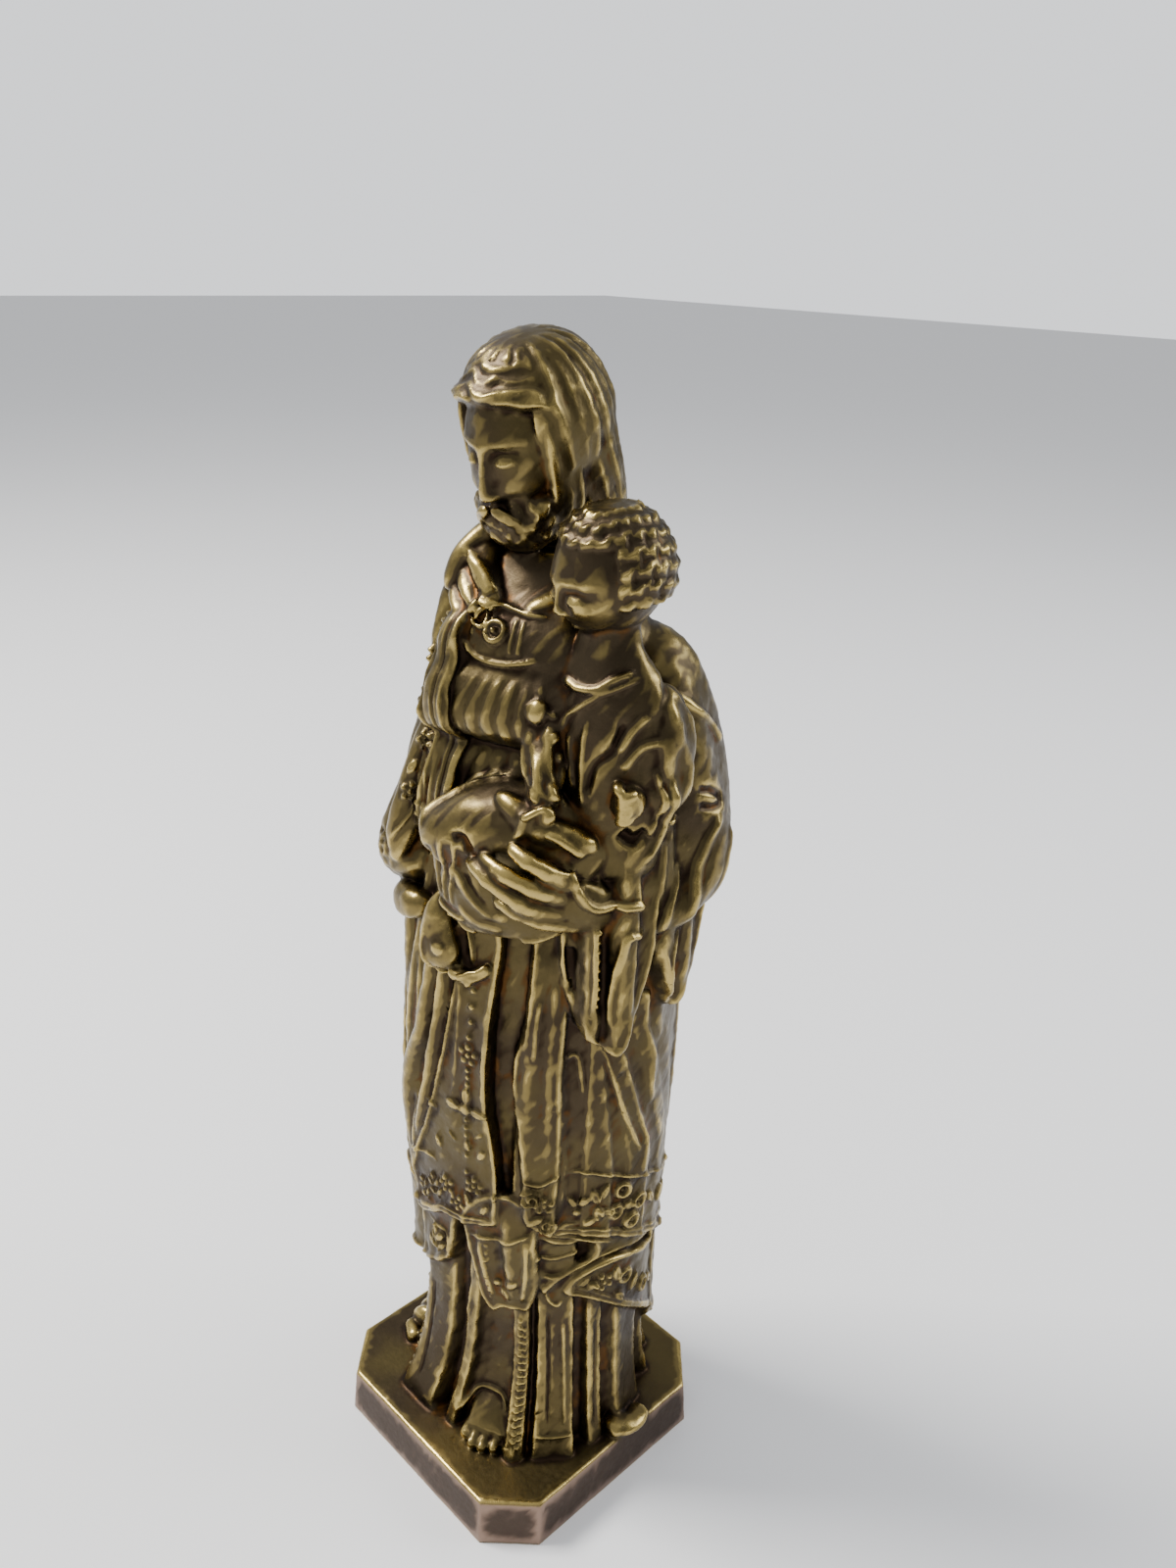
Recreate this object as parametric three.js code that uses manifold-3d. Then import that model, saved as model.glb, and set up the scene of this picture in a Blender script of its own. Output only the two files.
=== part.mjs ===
// Cast brass statuette: a bearded saint in robe and mantle, with a child on the left arm, on a square plinth.
// Millimetres, +Z up. The origin is the middle of the plinth's underside, and its sides lie along X and Y.
// The figure has its own frame, turned by FACING: +X is its left, -Y its front.
import * as THREE from 'three';
import { mergeVertices } from 'three/addons/utils/BufferGeometryUtils.js';
import Module from 'manifold-3d';

// Driving dimensions
const HEIGHT = 200; // underside of the plinth to the crown of the head
const PLINTH_SIDE = 52; // across the flats of the top
const PLINTH_CUT = 7.4; // leg of each cut corner
const PLINTH_THICKNESS = 9.2;
const PLINTH_FLARE = 0.6; // how far the foot of the plinth stands out
const FACING = 16; // degrees that the figure turns to its left on the plinth
const LAID_OUT = 200; // height at which the stations of the figure below are given

const wasm = await Module();
wasm.setup();

const radians = THREE.MathUtils.degToRad;
const degrees = THREE.MathUtils.radToDeg;
const mix = THREE.MathUtils.lerp;
const clamp = THREE.MathUtils.clamp;
const smooth = THREE.MathUtils.smoothstep;

// Solid of a closed geometry: its corners are merged, and normals and texture places are dropped
function solidOf(geometry) {
  const bare = geometry.clone();
  bare.deleteAttribute('normal');
  bare.deleteAttribute('uv');
  const merged = mergeVertices(bare, 1e-4);
  return new wasm.Manifold(new wasm.Mesh({
    numProp: 3,
    vertProperties: Float32Array.from(merged.attributes.position.array),
    triVerts: Uint32Array.from(merged.index.array),
  }));
}

// Moves every vertex of a geometry to place(vertex)
function shaped(geometry, place) {
  const positions = geometry.attributes.position;
  const vertex = new THREE.Vector3();
  for (let i = 0; i < positions.count; i += 1) {
    vertex.fromBufferAttribute(positions, i);
    const moved = place(vertex);
    positions.setXYZ(i, moved.x, moved.y, moved.z);
  }
  return geometry;
}

// Smooth value through rows of [key, values...], read at key
function through(rows, key, column) {
  const last = rows.length - 1;
  let i = 0;
  while (i < last - 1 && key > rows[i + 1][0]) i += 1;
  const span = rows[i + 1][0] - rows[i][0];
  const t = clamp((key - rows[i][0]) / span, 0, 1);
  const before = rows[Math.max(i - 1, 0)];
  const after = rows[Math.min(i + 2, last)];
  const slopeIn = (rows[i + 1][column] - before[column]) / (rows[i + 1][0] - before[0]) * span;
  const slopeOut = (after[column] - rows[i][column]) / (after[0] - rows[i][0]) * span;
  return (2 * t ** 3 - 3 * t ** 2 + 1) * rows[i][column] + (t ** 3 - 2 * t ** 2 + t) * slopeIn
    + (3 * t ** 2 - 2 * t ** 3) * rows[i + 1][column] + (t ** 3 - t ** 2) * slopeOut;
}

// Round hump of height 1, w degrees to each side of middle
function hump(angle, middle, w) {
  const off = Math.abs(((angle - middle + 540) % 360) - 180) / w;
  return off >= 1 ? 0 : Math.cos(off * Math.PI / 2) ** 2;
}

// Limb: stations of [x, y, z, half height, half width] along a smooth path, with rounded ends.
// up gives the direction of the first half axis.
function limb(stations, { sides = 10, rows = 8, cap = 0.18, up = [0, 0, 1], relief = null } = {}) {
  const places = stations.map(([x, y, z]) => new THREE.Vector3(x, y, z));
  const path = new THREE.CatmullRomCurve3(places, false, 'centripetal');
  const girth = new THREE.CatmullRomCurve3(stations.map(([, , , a, b]) => new THREE.Vector3(a, b, 0)));
  const reference = new THREE.Vector3(...up);
  const sphere = new THREE.SphereGeometry(1, sides, rows).rotateX(Math.PI / 2);
  return shaped(sphere, (p) => {
    const t = Math.acos(clamp(p.z, -1, 1)) / Math.PI;
    const turn = Math.atan2(p.y, p.x);
    const reach = 1 - Math.min(1, Math.min(t, 1 - t) / cap);
    const round = Math.sqrt(Math.max(0, 1 - reach * reach));
    const tangent = path.getTangent(t);
    const e1 = reference.clone().addScaledVector(tangent, -reference.dot(tangent)).normalize();
    const e2 = e1.clone().cross(tangent);
    const size = girth.getPoint(t);
    const swell = relief ? 1 + relief(degrees(turn), t) : 1;
    return path.getPoint(t)
      .addScaledVector(e1, size.x * round * Math.cos(turn) * swell)
      .addScaledVector(e2, size.y * round * Math.sin(turn) * swell);
  });
}

// Ball: an ellipsoid of half axes (a, b, c), turned about Z and tipped about X, with its middle at (x, y, z).
// relief(bearing, lift) swells it, with the bearing in degrees from its front towards its left.
function ball([x, y, z], [a, b, c], options = {}) {
  const { sides = 12, rows = 8, turn = 0, tip = 0, roll = 0, relief = () => 0 } = options;
  const sphere = new THREE.SphereGeometry(1, sides, rows).rotateX(Math.PI / 2);
  shaped(sphere, (p) => {
    const bearing = degrees(Math.atan2(p.x, -p.y));
    const lift = degrees(Math.asin(clamp(p.z, -1, 1)));
    return p.clone().multiplyScalar(1 + relief(bearing, lift));
  });
  return sphere.scale(a, b, c)
    .rotateY(radians(roll)).rotateX(radians(tip)).rotateZ(radians(turn)).translate(x, y, z);
}

// Plinth: a square with cut corners, standing out a little at its foot
function plinth() {
  const half = PLINTH_SIDE / 2;
  const outline = new THREE.Shape();
  const corners = [[1, -1], [1, 1], [-1, 1], [-1, -1]];
  corners.forEach(([sx, sy], i) => {
    const first = sx === sy;
    const onSide = new THREE.Vector2(sx * half, sy * (half - PLINTH_CUT));
    const onEnd = new THREE.Vector2(sx * (half - PLINTH_CUT), sy * half);
    [first ? onSide : onEnd, first ? onEnd : onSide].forEach((corner, k) => {
      if (i === 0 && k === 0) outline.moveTo(corner.x, corner.y);
      else outline.lineTo(corner.x, corner.y);
    });
  });
  const block = new THREE.ExtrudeGeometry(outline, { depth: PLINTH_THICKNESS, bevelEnabled: false });
  return shaped(block, (p) => {
    const spread = 1 + (PLINTH_FLARE / half) * (1 - p.z / PLINTH_THICKNESS);
    return new THREE.Vector3(p.x * spread, p.y * spread, p.z);
  });
}

// The robed body. Rows of height, half width, half depth, middle to the left, middle to the back
const bodyRows = [
  [7, 23.2, 20.4, 2.4, 1.2],
  [12, 22.4, 19.6, 2.2, 1.4],
  [26, 19.8, 17.0, 1.9, 1.8],
  [45, 19.6, 16.6, 1.6, 1.8],
  [66, 20.8, 17.2, 1.4, 1.6],
  [85, 21.4, 17.2, 1.6, 1.4],
  [105, 21.2, 16.4, 2.0, 1.4],
  [122, 20.4, 15.0, 2.0, 1.4],
  [138, 18.8, 13.4, 2.0, 1.4],
  [151, 17.6, 11.6, 2.1, 1.4],
  [160, 15.6, 9.8, 2.1, 1.6],
  [165, 10.6, 7.6, 2.0, 1.8],
  [170, 6.2, 5.8, 1.6, 1.2],
];

// Long folds of the skirt: bearing at the foot and at the top, half width, rise at the foot and at the top,
// and the height at which the fold has died away. Bearings are degrees from the front towards the figure's left.
const skirtFolds = [
  [-31, -24, 11, 4.2, 2.2, 62],
  [-13, -12, 6, 1.0, 1.2, 60],
  [1, 0, 6, 0.4, 1.0, 56],
  [27, 22, 7, 4.0, 1.8, 70],
  [52, 50, 9, 2.6, 1.2, 76],
  [68, 66, 6, 1.8, 1.0, 70],
  [83, 82, 7, 2.4, 1.0, 70],
  [101, 100, 9, 1.6, 1.2, 90],
  [124, 121, 11, 2.0, 1.6, 118],
  [150, 148, 12, 2.2, 1.6, 122],
  [178, 178, 12, 2.4, 1.8, 126],
  [206, 208, 12, 2.2, 1.6, 122],
  [233, 236, 12, 2.0, 1.6, 118],
  [259, 262, 11, 2.2, 1.4, 100],
  [283, 284, 11, 2.6, 1.6, 96],
  [306, 308, 10, 2.0, 1.6, 90],
];

const FOLD_FADE = 0.8; // share of a fold's height at which it starts to die away
const FOLD_END = 1.15; // share at which nothing is left of it
const FOLD_BED = 0.9; // how far the cloth between the folds lies in

function foldRise(bearing, z) {
  let rise = 0;
  skirtFolds.forEach(([foot, top, width, low, high, end]) => {
    const up = clamp((z - PLINTH_THICKNESS) / (end - PLINTH_THICKNESS), 0, FOLD_END);
    const strength = mix(low, high, Math.min(up, 1)) * (1 - smooth(up, FOLD_FADE, FOLD_END));
    rise += strength * hump(bearing, mix(foot, top, Math.min(up, 1)), width);
  });
  return rise - FOLD_BED * (1 - smooth(z, 60, 120));
}

// Point of the body's surface at a bearing and height, lift millimetres proud of it
function onBody(bearing, z, lift = 0) {
  const angle = radians(bearing);
  const a = through(bodyRows, z, 1);
  const b = through(bodyRows, z, 2);
  const reach = (a * b) / Math.hypot(b * Math.sin(angle), a * Math.cos(angle)) + foldRise(bearing, z) + lift;
  return new THREE.Vector3(
    through(bodyRows, z, 3) + reach * Math.sin(angle),
    through(bodyRows, z, 4) - reach * Math.cos(angle),
    z,
  );
}

const ROBE_SIDES = 58;
const ROBE_ROWS = 14;
const FRONT_CROWDING = 17; // degrees by which the sides crowd towards the carved front
const FRONT_TURN = 12; // bearing about which they crowd
const LOW_CROWDING = 1.15; // above 1, the rows lie closer together near the hem

function robe() {
  const low = bodyRows[0][0];
  const high = bodyRows[bodyRows.length - 1][0];
  const drum = new THREE.CylinderGeometry(1, 1, 1, ROBE_SIDES, ROBE_ROWS).rotateX(Math.PI / 2);
  return shaped(drum, (p) => {
    const even = degrees(Math.atan2(p.x, -p.y));
    const bearing = even - FRONT_CROWDING * Math.sin(radians(even)) + FRONT_TURN;
    const z = mix(low, high, (p.z + 0.5) ** LOW_CROWDING);
    const rim = onBody(bearing, z);
    const axis = new THREE.Vector3(through(bodyRows, z, 3), through(bodyRows, z, 4), z);
    return axis.lerp(rim, Math.min(1, Math.hypot(p.x, p.y)));
  });
}

const CLOTH_ROOT = 2.5; // how deep a cloth is rooted in the body

// Cloth lying on the body: left(v) and right(v) are its edges as bearings, top(u) and hem(u) its ends as
// heights
function cloth({ left, right, top, hem, lift, across = 6, down = 6, relief = () => 0 }) {
  const slab = new THREE.BoxGeometry(1, 1, 1, across, 1, down);
  return shaped(slab, (p) => {
    const u = p.x + 0.5;
    const v = 0.5 - p.z;
    const bearing = mix(left(v), right(v), u);
    const z = mix(top(u), hem(u), v);
    return onBody(bearing, z, p.y < 0 ? lift + relief(u, v) : -CLOTH_ROOT);
  });
}

// Ridge of cloth along the body: stations of [bearing, height, lift, half depth, half width]
function ridge(stations, options = {}) {
  const along = stations.map(([bearing, z, lift, depth, width]) => {
    const { x, y } = onBody(bearing, z, lift);
    return [x, y, z, depth, width];
  });
  const outward = radians(stations[0][0]);
  return limb(along, { up: [Math.sin(outward), -Math.cos(outward), 0], sides: 5, rows: 4, ...options });
}

// Cloths of the mantle that lie over the robe, each with its edges and hem
function mantleCloths() {
  const straight = (from, to) => (t) => mix(from, to, t);
  const level = (height) => () => height;
  const pleat = (count, depth) => (u, v) => depth * Math.cos(u * count * 2 * Math.PI) * smooth(v, 0, 0.4);
  return [
    // the ornamented panel that hangs in front
    cloth({ left: straight(-3, -12), right: straight(9, 17), top: level(112), hem: level(62), lift: 2.1,
      across: 4 }),
    // its neighbour on the right side, with the turned lobe below
    cloth({ left: straight(-42, -40), right: straight(-22, -10), top: level(112), hem: straight(60, 56),
      lift: 1.5, across: 4, relief: pleat(1.5, 0.5) }),
    cloth({ left: straight(-38, -36), right: straight(-16, -10), top: level(60), hem: straight(47, 50),
      lift: 0.9, across: 3, down: 2 }),
    // the end that hangs beside the groove
    cloth({ left: straight(20, 16), right: straight(34, 37), top: level(66), hem: straight(45, 48), lift: 1.5,
      across: 3, down: 3 }),
    // the bordered side under the left arm, in radiating pleats
    cloth({ left: straight(46, 32), right: straight(112, 108), top: level(112), hem: straight(63, 58),
      lift: 1.6, across: 12, down: 4, relief: pleat(4, 1) }),
    // the second border below it, folded back in front
    cloth({ left: straight(60, 44), right: straight(112, 110), top: level(62), hem: straight(50, 37),
      lift: 0.8, across: 6, down: 3 }),
    // the back of the mantle, plain, to a lower hem
    cloth({ left: straight(106, 106), right: straight(322, 320), top: level(150), hem: straight(40, 46),
      lift: 1.3, across: 18, down: 5 }),
  ];
}

// Folds of cloth modelled one by one
function looseFolds() {
  return [
    // bordered edge of the mantle, down the right of the chest to the sleeve
    limb([[-7, 0.5, 171, 2.2, 3], [-10.4, -3.6, 164, 2.6, 3], [-11.7, -6, 157, 2.2, 2.5],
      [-11.2, -8.6, 146, 2.2, 2.5], [-12.8, -11.6, 136, 2.3, 2.7], [-14.4, -13.8, 128, 2.5, 2.8],
      [-16, -14.6, 120, 2.6, 2.8]], { up: [0, -1, 0], sides: 6, rows: 8 }),
    // mantle edge hanging behind the right sleeve
    ridge([[-58, 117, 1, 2.4, 2.6], [-57, 102, 1.4, 2.2, 2.4], [-55, 87, 0.6, 1.8, 2]]),
    // collar folds to both sides of the throat
    limb([[-6.4, -1.6, 168, 2.2, 2.6], [-3.4, -7, 165.6, 1.9, 2], [1.2, -10.6, 160.5, 1.8, 1.8]],
      { sides: 6, rows: 5 }),
    limb([[9, -1, 168, 2.2, 2.6], [6.6, -6.4, 164.6, 1.9, 2], [2.6, -10.6, 160.5, 1.8, 1.8]],
      { sides: 6, rows: 5 }),
    // diagonal folds drawn up to the left hand, and the long ones below the arm
    ridge([[17, 91, 1, 1.6, 1.6], [24, 99, 1.4, 1.9, 1.8], [33, 111, 1.2, 2, 2]]),
    ridge([[30, 74, 0.8, 1.4, 1.4], [31, 90, 1.6, 2, 1.8], [38, 110, 1.2, 2, 2]]),
    ridge([[43, 68, 1.2, 1.6, 2], [47, 84, 1.8, 2, 2], [56, 104, 1, 2, 2]]),
    ridge([[72, 68, 1.6, 1.6, 1.8], [68, 84, 2, 2, 1.8], [64, 104, 1.2, 2, 2]]),
    ridge([[-17, 68, 2, 1.2, 1.2], [-16, 84, 2, 1.4, 1.4], [-10, 108, 2, 1.6, 1.6]]),
    ridge([[-31, 70, 1.6, 1.6, 1.6], [-32, 88, 1.8, 2, 1.8], [-30, 112, 1.4, 2, 1.8]]),
    // drop-shaped fold and the gathered end beside it
    limb([[-4, -15.6, 119, 2.4, 2.6], [-3.6, -16.8, 112, 2.6, 2.8], [-2.4, -17.2, 106, 3, 3.4]],
      { up: [0, -1, 0], sides: 7, rows: 5, cap: 0.3 }),
    limb([[-2, -17.2, 105.6, 2, 2], [2, -17, 107, 2, 2], [6, -15.6, 109.6, 2, 2]], { sides: 6, rows: 4 }),
  ];
}

// Chest: yoke and the bloused tunic below it
function chest() {
  return [
    ball([2, -3.4, 154], [9.5, 8.6, 9], { sides: 12, rows: 7 }),
    limb([[-8, -8, 149, 4.4, 4.4], [-2, -9.6, 149, 5.6, 5], [5, -10, 149, 5.8, 5], [12, -8.4, 149, 4.6, 4.4]],
      { sides: 10, rows: 12, relief: (turn, t) => 0.05 * Math.cos(t * 9 * Math.PI) }),
    limb([[-4, -9, 146, 4, 5], [1, -9.6, 139, 4.6, 7], [1, -10.4, 132, 5, 8]],
      { up: [0, -1, 0], sides: 12, rows: 6 }),
  ];
}

// Arms of the saint in their wide sleeves
function sleeves() {
  return [
    limb([[-8.8, 2.5, 160, 5, 5.2], [-12.4, 1.6, 148, 5.6, 5.8], [-15.2, -1.6, 133, 6.6, 6.4],
      [-15.8, -8.2, 121.5, 6.6, 6.6], [-13.4, -13.4, 117.6, 4.8, 5.4]],
    { up: [1, 0, 0.3], sides: 10, rows: 8 }),
    limb([[-14.6, -13.4, 114.6, 3.4, 4], [-8, -14.6, 115.4, 3.4, 4]], { sides: 7, rows: 5, cap: 0.4 }),
    limb([[12, 3, 159, 5, 6], [18.4, 5, 152, 6.4, 7], [22, 5.6, 140, 6.8, 8], [23.6, 4.6, 126, 7.6, 8],
      [21.4, -3, 119, 6.6, 6.6], [20, -11, 119, 4.6, 5]], { up: [1, 0, 0.3], sides: 11, rows: 10 }),
    // the mouth of the left sleeve, hanging in two lobes
    limb([[21, -6, 121, 9.4, 5.4], [21.4, -7, 112, 9.6, 4.6], [21, -10, 105, 6.4, 3.8],
      [21.4, -12, 101.4, 2.8, 2.6]], { up: [0, -1, 0], sides: 10, rows: 6 }),
    limb([[23.4, 0, 118, 6.4, 4.4], [24, -1.4, 110, 5.4, 3.4], [24.4, -3.4, 105, 3, 2]],
      { up: [0, -1, 0], sides: 8, rows: 5 }),
  ];
}

// Left hand of the saint: back of the hand and four fingers over the child's tunic
function hand() {
  const fingers = [
    [[17.4, -19.4, 128, 1.7, 1.8], [14.4, -22.6, 131.4, 1.6, 1.7], [11.8, -23.6, 134.2, 1.4, 1.5]],
    [[16.4, -20, 126.4, 1.7, 1.8], [11.6, -24, 130.2, 1.5, 1.6], [7.4, -24.6, 132.6, 1.2, 1.4]],
    [[16.6, -19.6, 122.4, 1.7, 1.9], [10.4, -24, 127, 1.5, 1.7], [5.8, -24.2, 131, 1.2, 1.4]],
    [[18.4, -16.6, 119, 1.6, 1.7], [13.4, -21.4, 122.4, 1.6, 1.6], [8.8, -23.8, 126, 1.2, 1.3]],
  ];
  return [
    limb([[20, -11, 120, 3.4, 4.2], [17.6, -17, 123.6, 3.2, 5], [14.6, -20.4, 127, 2.2, 4.4]],
      { up: [0.3, -1, 0], sides: 8, rows: 6 }),
    ...fingers.map((finger) => limb(finger, { up: [0.3, -1, 0.3], sides: 6, rows: 5, cap: 0.24 })),
  ];
}

const CHILD_TURN = -31; // degrees that the child's head turns to its right

// The child: covered legs across the saint's front, torso, arms and head
function child() {
  const locks = (bearing, lift) => {
    const face = smooth(Math.abs(bearing), 42, 60) + smooth(lift, 18, 34);
    return Math.min(1, face) * (0.06 + 0.035 * Math.cos(radians(bearing * 9 + lift * 3)));
  };
  return [
    // lap and knees under the tunic
    limb([[18, -8, 129, 7, 7.4], [12, -14, 132.4, 7.2, 7], [5, -17.4, 133, 6.8, 6],
      [-1.6, -18.6, 130.6, 5.6, 5], [-5.4, -19, 127.6, 4, 3.8]], { sides: 10, rows: 9, cap: 0.14 }),
    // tunic hanging from the knees
    limb([[3, -16.8, 132, 5.2, 9.4], [4.4, -17, 125, 5.6, 10.4], [6, -16.4, 118.6, 5.4, 10.6],
      [6.4, -16, 116.4, 4.6, 9.6]], { up: [0, -1, 0], sides: 12, rows: 6, cap: 0.1 }),
    // body in its loose tunic
    limb([[17.4, -8, 124, 6.6, 8.4], [17.4, -8.4, 138, 6.6, 9], [17.2, -8, 149, 6.2, 9],
      [17.2, -8, 155.4, 4.8, 6.6], [17.6, -8.8, 163, 3.6, 3.8]],
    { up: [0, -1, 0], sides: 12, rows: 9, cap: 0.1 }),
    // left arm, bent, with its fist and hanging cuff
    limb([[22.6, -6, 154.6, 3.2, 3.4], [25, -5.6, 148, 4.2, 4.2], [25.6, -6.4, 139.6, 4.8, 4.2],
      [24.2, -10.6, 137.4, 3.8, 3.8]], { up: [1, 0, 0], sides: 8, rows: 6 }),
    ball([23.8, -13.4, 139.4], [2.9, 2.7, 2.9], { sides: 8, rows: 5 }),
    limb([[24.6, -7.6, 135.4, 4.2, 3], [23.8, -9.6, 130, 3.2, 2.4]], { up: [0, -1, 0], sides: 7, rows: 4 }),
    // right arm with the hand on the knees
    limb([[10.8, -9.4, 153.4, 2.8, 3.2], [10.4, -13.6, 147, 3.2, 3], [12.6, -18, 141, 2.4, 2.6],
      [15, -19.8, 138.4, 1.8, 2.2]], { up: [1, 0, 0], sides: 7, rows: 6 }),
    // bordered neckline
    limb([[10.6, -9.4, 156.6, 1.4, 1.4], [15.6, -13.4, 153.8, 1.4, 1.5], [22, -9.4, 156.8, 1.4, 1.4]],
      { sides: 5, rows: 5 }),
    // head with its wavy locks, then cheeks and chin, nose and lips
    ball([16.9, -8.2, 170.2], [8, 8.6, 9], { sides: 17, rows: 9, turn: CHILD_TURN, relief: locks }),
    ball([15.2, -11.6, 166], [5, 4.6, 5.2], { sides: 8, rows: 5, turn: CHILD_TURN }),
    ball([12.7, -15.8, 167], [1.1, 1.3, 1.4], { sides: 5, rows: 3, turn: CHILD_TURN }),
    ball([13.4, -15.4, 164.2], [1.7, 1, 0.9], { sides: 5, rows: 3, turn: CHILD_TURN }),
    ball([13.8, -14.4, 162], [1.7, 1.5, 1.3], { sides: 5, rows: 3, turn: CHILD_TURN }),
  ];
}

const BOW = 20; // degrees that the saint's head bows
const HEAD_TURN = -9; // degrees that it turns to its right
const HEAD_PLACE = [0.6, -3.2, 185.2];

// Saint's head: built upright at the origin, then bowed and turned to its place
function head() {
  const fringe = (bearing, lift) => {
    const side = Math.abs(bearing);
    const hair = Math.max(smooth(lift, 22, 34), smooth(side, 50, 66));
    return hair * (0.05 + 0.025 * Math.cos(radians(bearing * 11 + lift * 4)));
  };
  const forms = [
    ball([0, 2, 2.4], [9.6, 11.4, 11.6], { sides: 18, rows: 9, relief: fringe }),
    // face: brow, nose, moustache, beard
    ball([0, -5.2, -3], [6.8, 5.2, 8.6], { sides: 10, rows: 6 }),
    ball([-2.6, -9.6, 1.2], [2.6, 1.2, 0.9], { sides: 5, rows: 3, roll: 8 }),
    ball([2.6, -9.6, 1.2], [2.6, 1.2, 0.9], { sides: 5, rows: 3, roll: -8 }),
    limb([[0, -9.8, 1.2, 1, 0.9], [0, -11.4, -1.8, 1.2, 1], [0, -11.4, -3.4, 1.2, 1.6]],
      { up: [0, -1, 0], sides: 5, rows: 4 }),
    ball([0, -9.4, -5.8], [3.2, 1.8, 1.1], { sides: 6, rows: 3 }),
    limb([[0, -6.6, -6, 3.4, 5.4], [0, -7.4, -10, 3.4, 4.8], [0, -7.4, -14, 2, 2.6]],
      { up: [0, -1, 0], sides: 9, rows: 5, cap: 0.3, relief: (turn) => 0.08 * Math.cos(radians(turn * 9)) }),
  ];
  // wavy fringe across the forehead
  forms.push(limb([[-8, -2.6, 6, 1.8, 1.8], [-5, -7.2, 8, 2, 1.9], [0, -8.8, 8.8, 2, 1.9],
    [5, -7.2, 7.8, 2, 1.9], [8, -2.6, 5.4, 1.8, 1.8]], { sides: 6, rows: 8 }));
  // long hair beside the face and down to the shoulders
  [-1, 1].forEach((side) => {
    forms.push(limb([[side * 6.4, -3.6, 11, 2.4, 3], [side * 8.6, -2.8, 4, 2.2, 3],
      [side * 8.4, -0.6, -5, 2.2, 3.2], [side * 7.4, 2.4, -14, 2.6, 3.8]],
    { up: [side, 0, 0], sides: 6, rows: 6, relief: (turn) => 0.1 * Math.cos(radians(turn * 3)) }));
  });
  forms.push(limb([[0, 5, 6, 6, 8.2], [0, 6.2, -4, 5, 8.2], [0, 5.8, -14, 4.6, 8], [0, 6, -22, 3.6, 7.6]],
    { up: [0, 1, 0], sides: 12, rows: 6, relief: (turn) => 0.06 * Math.cos(radians(turn * 5)) }));
  return forms.map((form) => form.rotateX(radians(BOW)).rotateZ(radians(HEAD_TURN)).translate(...HEAD_PLACE));
}

const TOE_REACH = [22.2, 22.9, 22.4, 21.6, 20.3]; // how far each toe comes forward, from the big toe
const TOE_PITCH = 1.75;
const SIDE_LUMPS = 4;
const LUMP_PITCH = 3.6;

// Bare left foot with its toes, and the low forms on the plinth at the right side
function feet() {
  const forms = [
    limb([[3, -12, 15, 4, 4.6], [4.2, -17, 12.6, 3.4, 4.6], [4.8, -20, 10.6, 2.2, 4.4]],
      { sides: 8, rows: 5 }),
    ball([-9, -18.4, 9.6], [3.4, 3.4, 2.4], { sides: 8, rows: 5 }),
    limb([[-19.6, -8.4, 10.2, 1.5, 1.5], [-23.2, -5, 10, 1.4, 1.4]], { sides: 6, rows: 4 }),
  ];
  TOE_REACH.forEach((reach, toe) => {
    const across = 1.4 + toe * TOE_PITCH;
    forms.push(limb([[across, -17.6, 11, 1.5, 1.2], [across + 0.3, -reach, 9.8, 0.9, 0.9]],
      { sides: 5, rows: 3, cap: 0.3 }));
  });
  for (let i = 0; i < SIDE_LUMPS; i += 1) {
    const middle = [-20.4 - 0.2 * i, -3.4 + i * LUMP_PITCH, 10];
    forms.push(ball(middle, [3, 2.6, 3.4 - 0.3 * i], { sides: 6, rows: 3 }));
  }
  return forms;
}

// The figure in one piece, at its height and turned to its place on the plinth
function figure() {
  const cloths = [robe(), ...mantleCloths(), ...looseFolds(), ...chest(), ...sleeves()];
  const forms = [...cloths, ...hand(), ...child(), ...head(), ...feet()];
  const size = HEIGHT / LAID_OUT;
  return forms.map(solidOf).reduce((whole, form) => whole.add(form)).rotate([0, 0, FACING]).scale(size);
}

// Mesh geometry of a solid
function geometryOf(solid) {
  const mesh = solid.getMesh();
  const geometry = new THREE.BufferGeometry();
  geometry.setAttribute('position', new THREE.BufferAttribute(Float32Array.from(mesh.vertProperties), 3));
  geometry.setIndex(new THREE.BufferAttribute(Uint32Array.from(mesh.triVerts), 1));
  geometry.computeVertexNormals();
  return geometry;
}

const brass = new THREE.MeshStandardMaterial({ color: '#6b5a32', metalness: 1, roughness: 0.42 });
brass.name = 'patinated_brass';
const statue = new THREE.Mesh(geometryOf(solidOf(plinth()).add(figure())), brass);
statue.name = 'saint_figure';

const model = new THREE.Group();
model.add(statue);
export default model;
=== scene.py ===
# Cast brass statuette of a bearded saint with a child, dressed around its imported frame.
# Shapes are worked out in millimetres in the figure's own frame: +X its left, -Y its front, +Z up.
import math

import bpy
import numpy as np
from mathutils import Matrix, Vector


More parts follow.
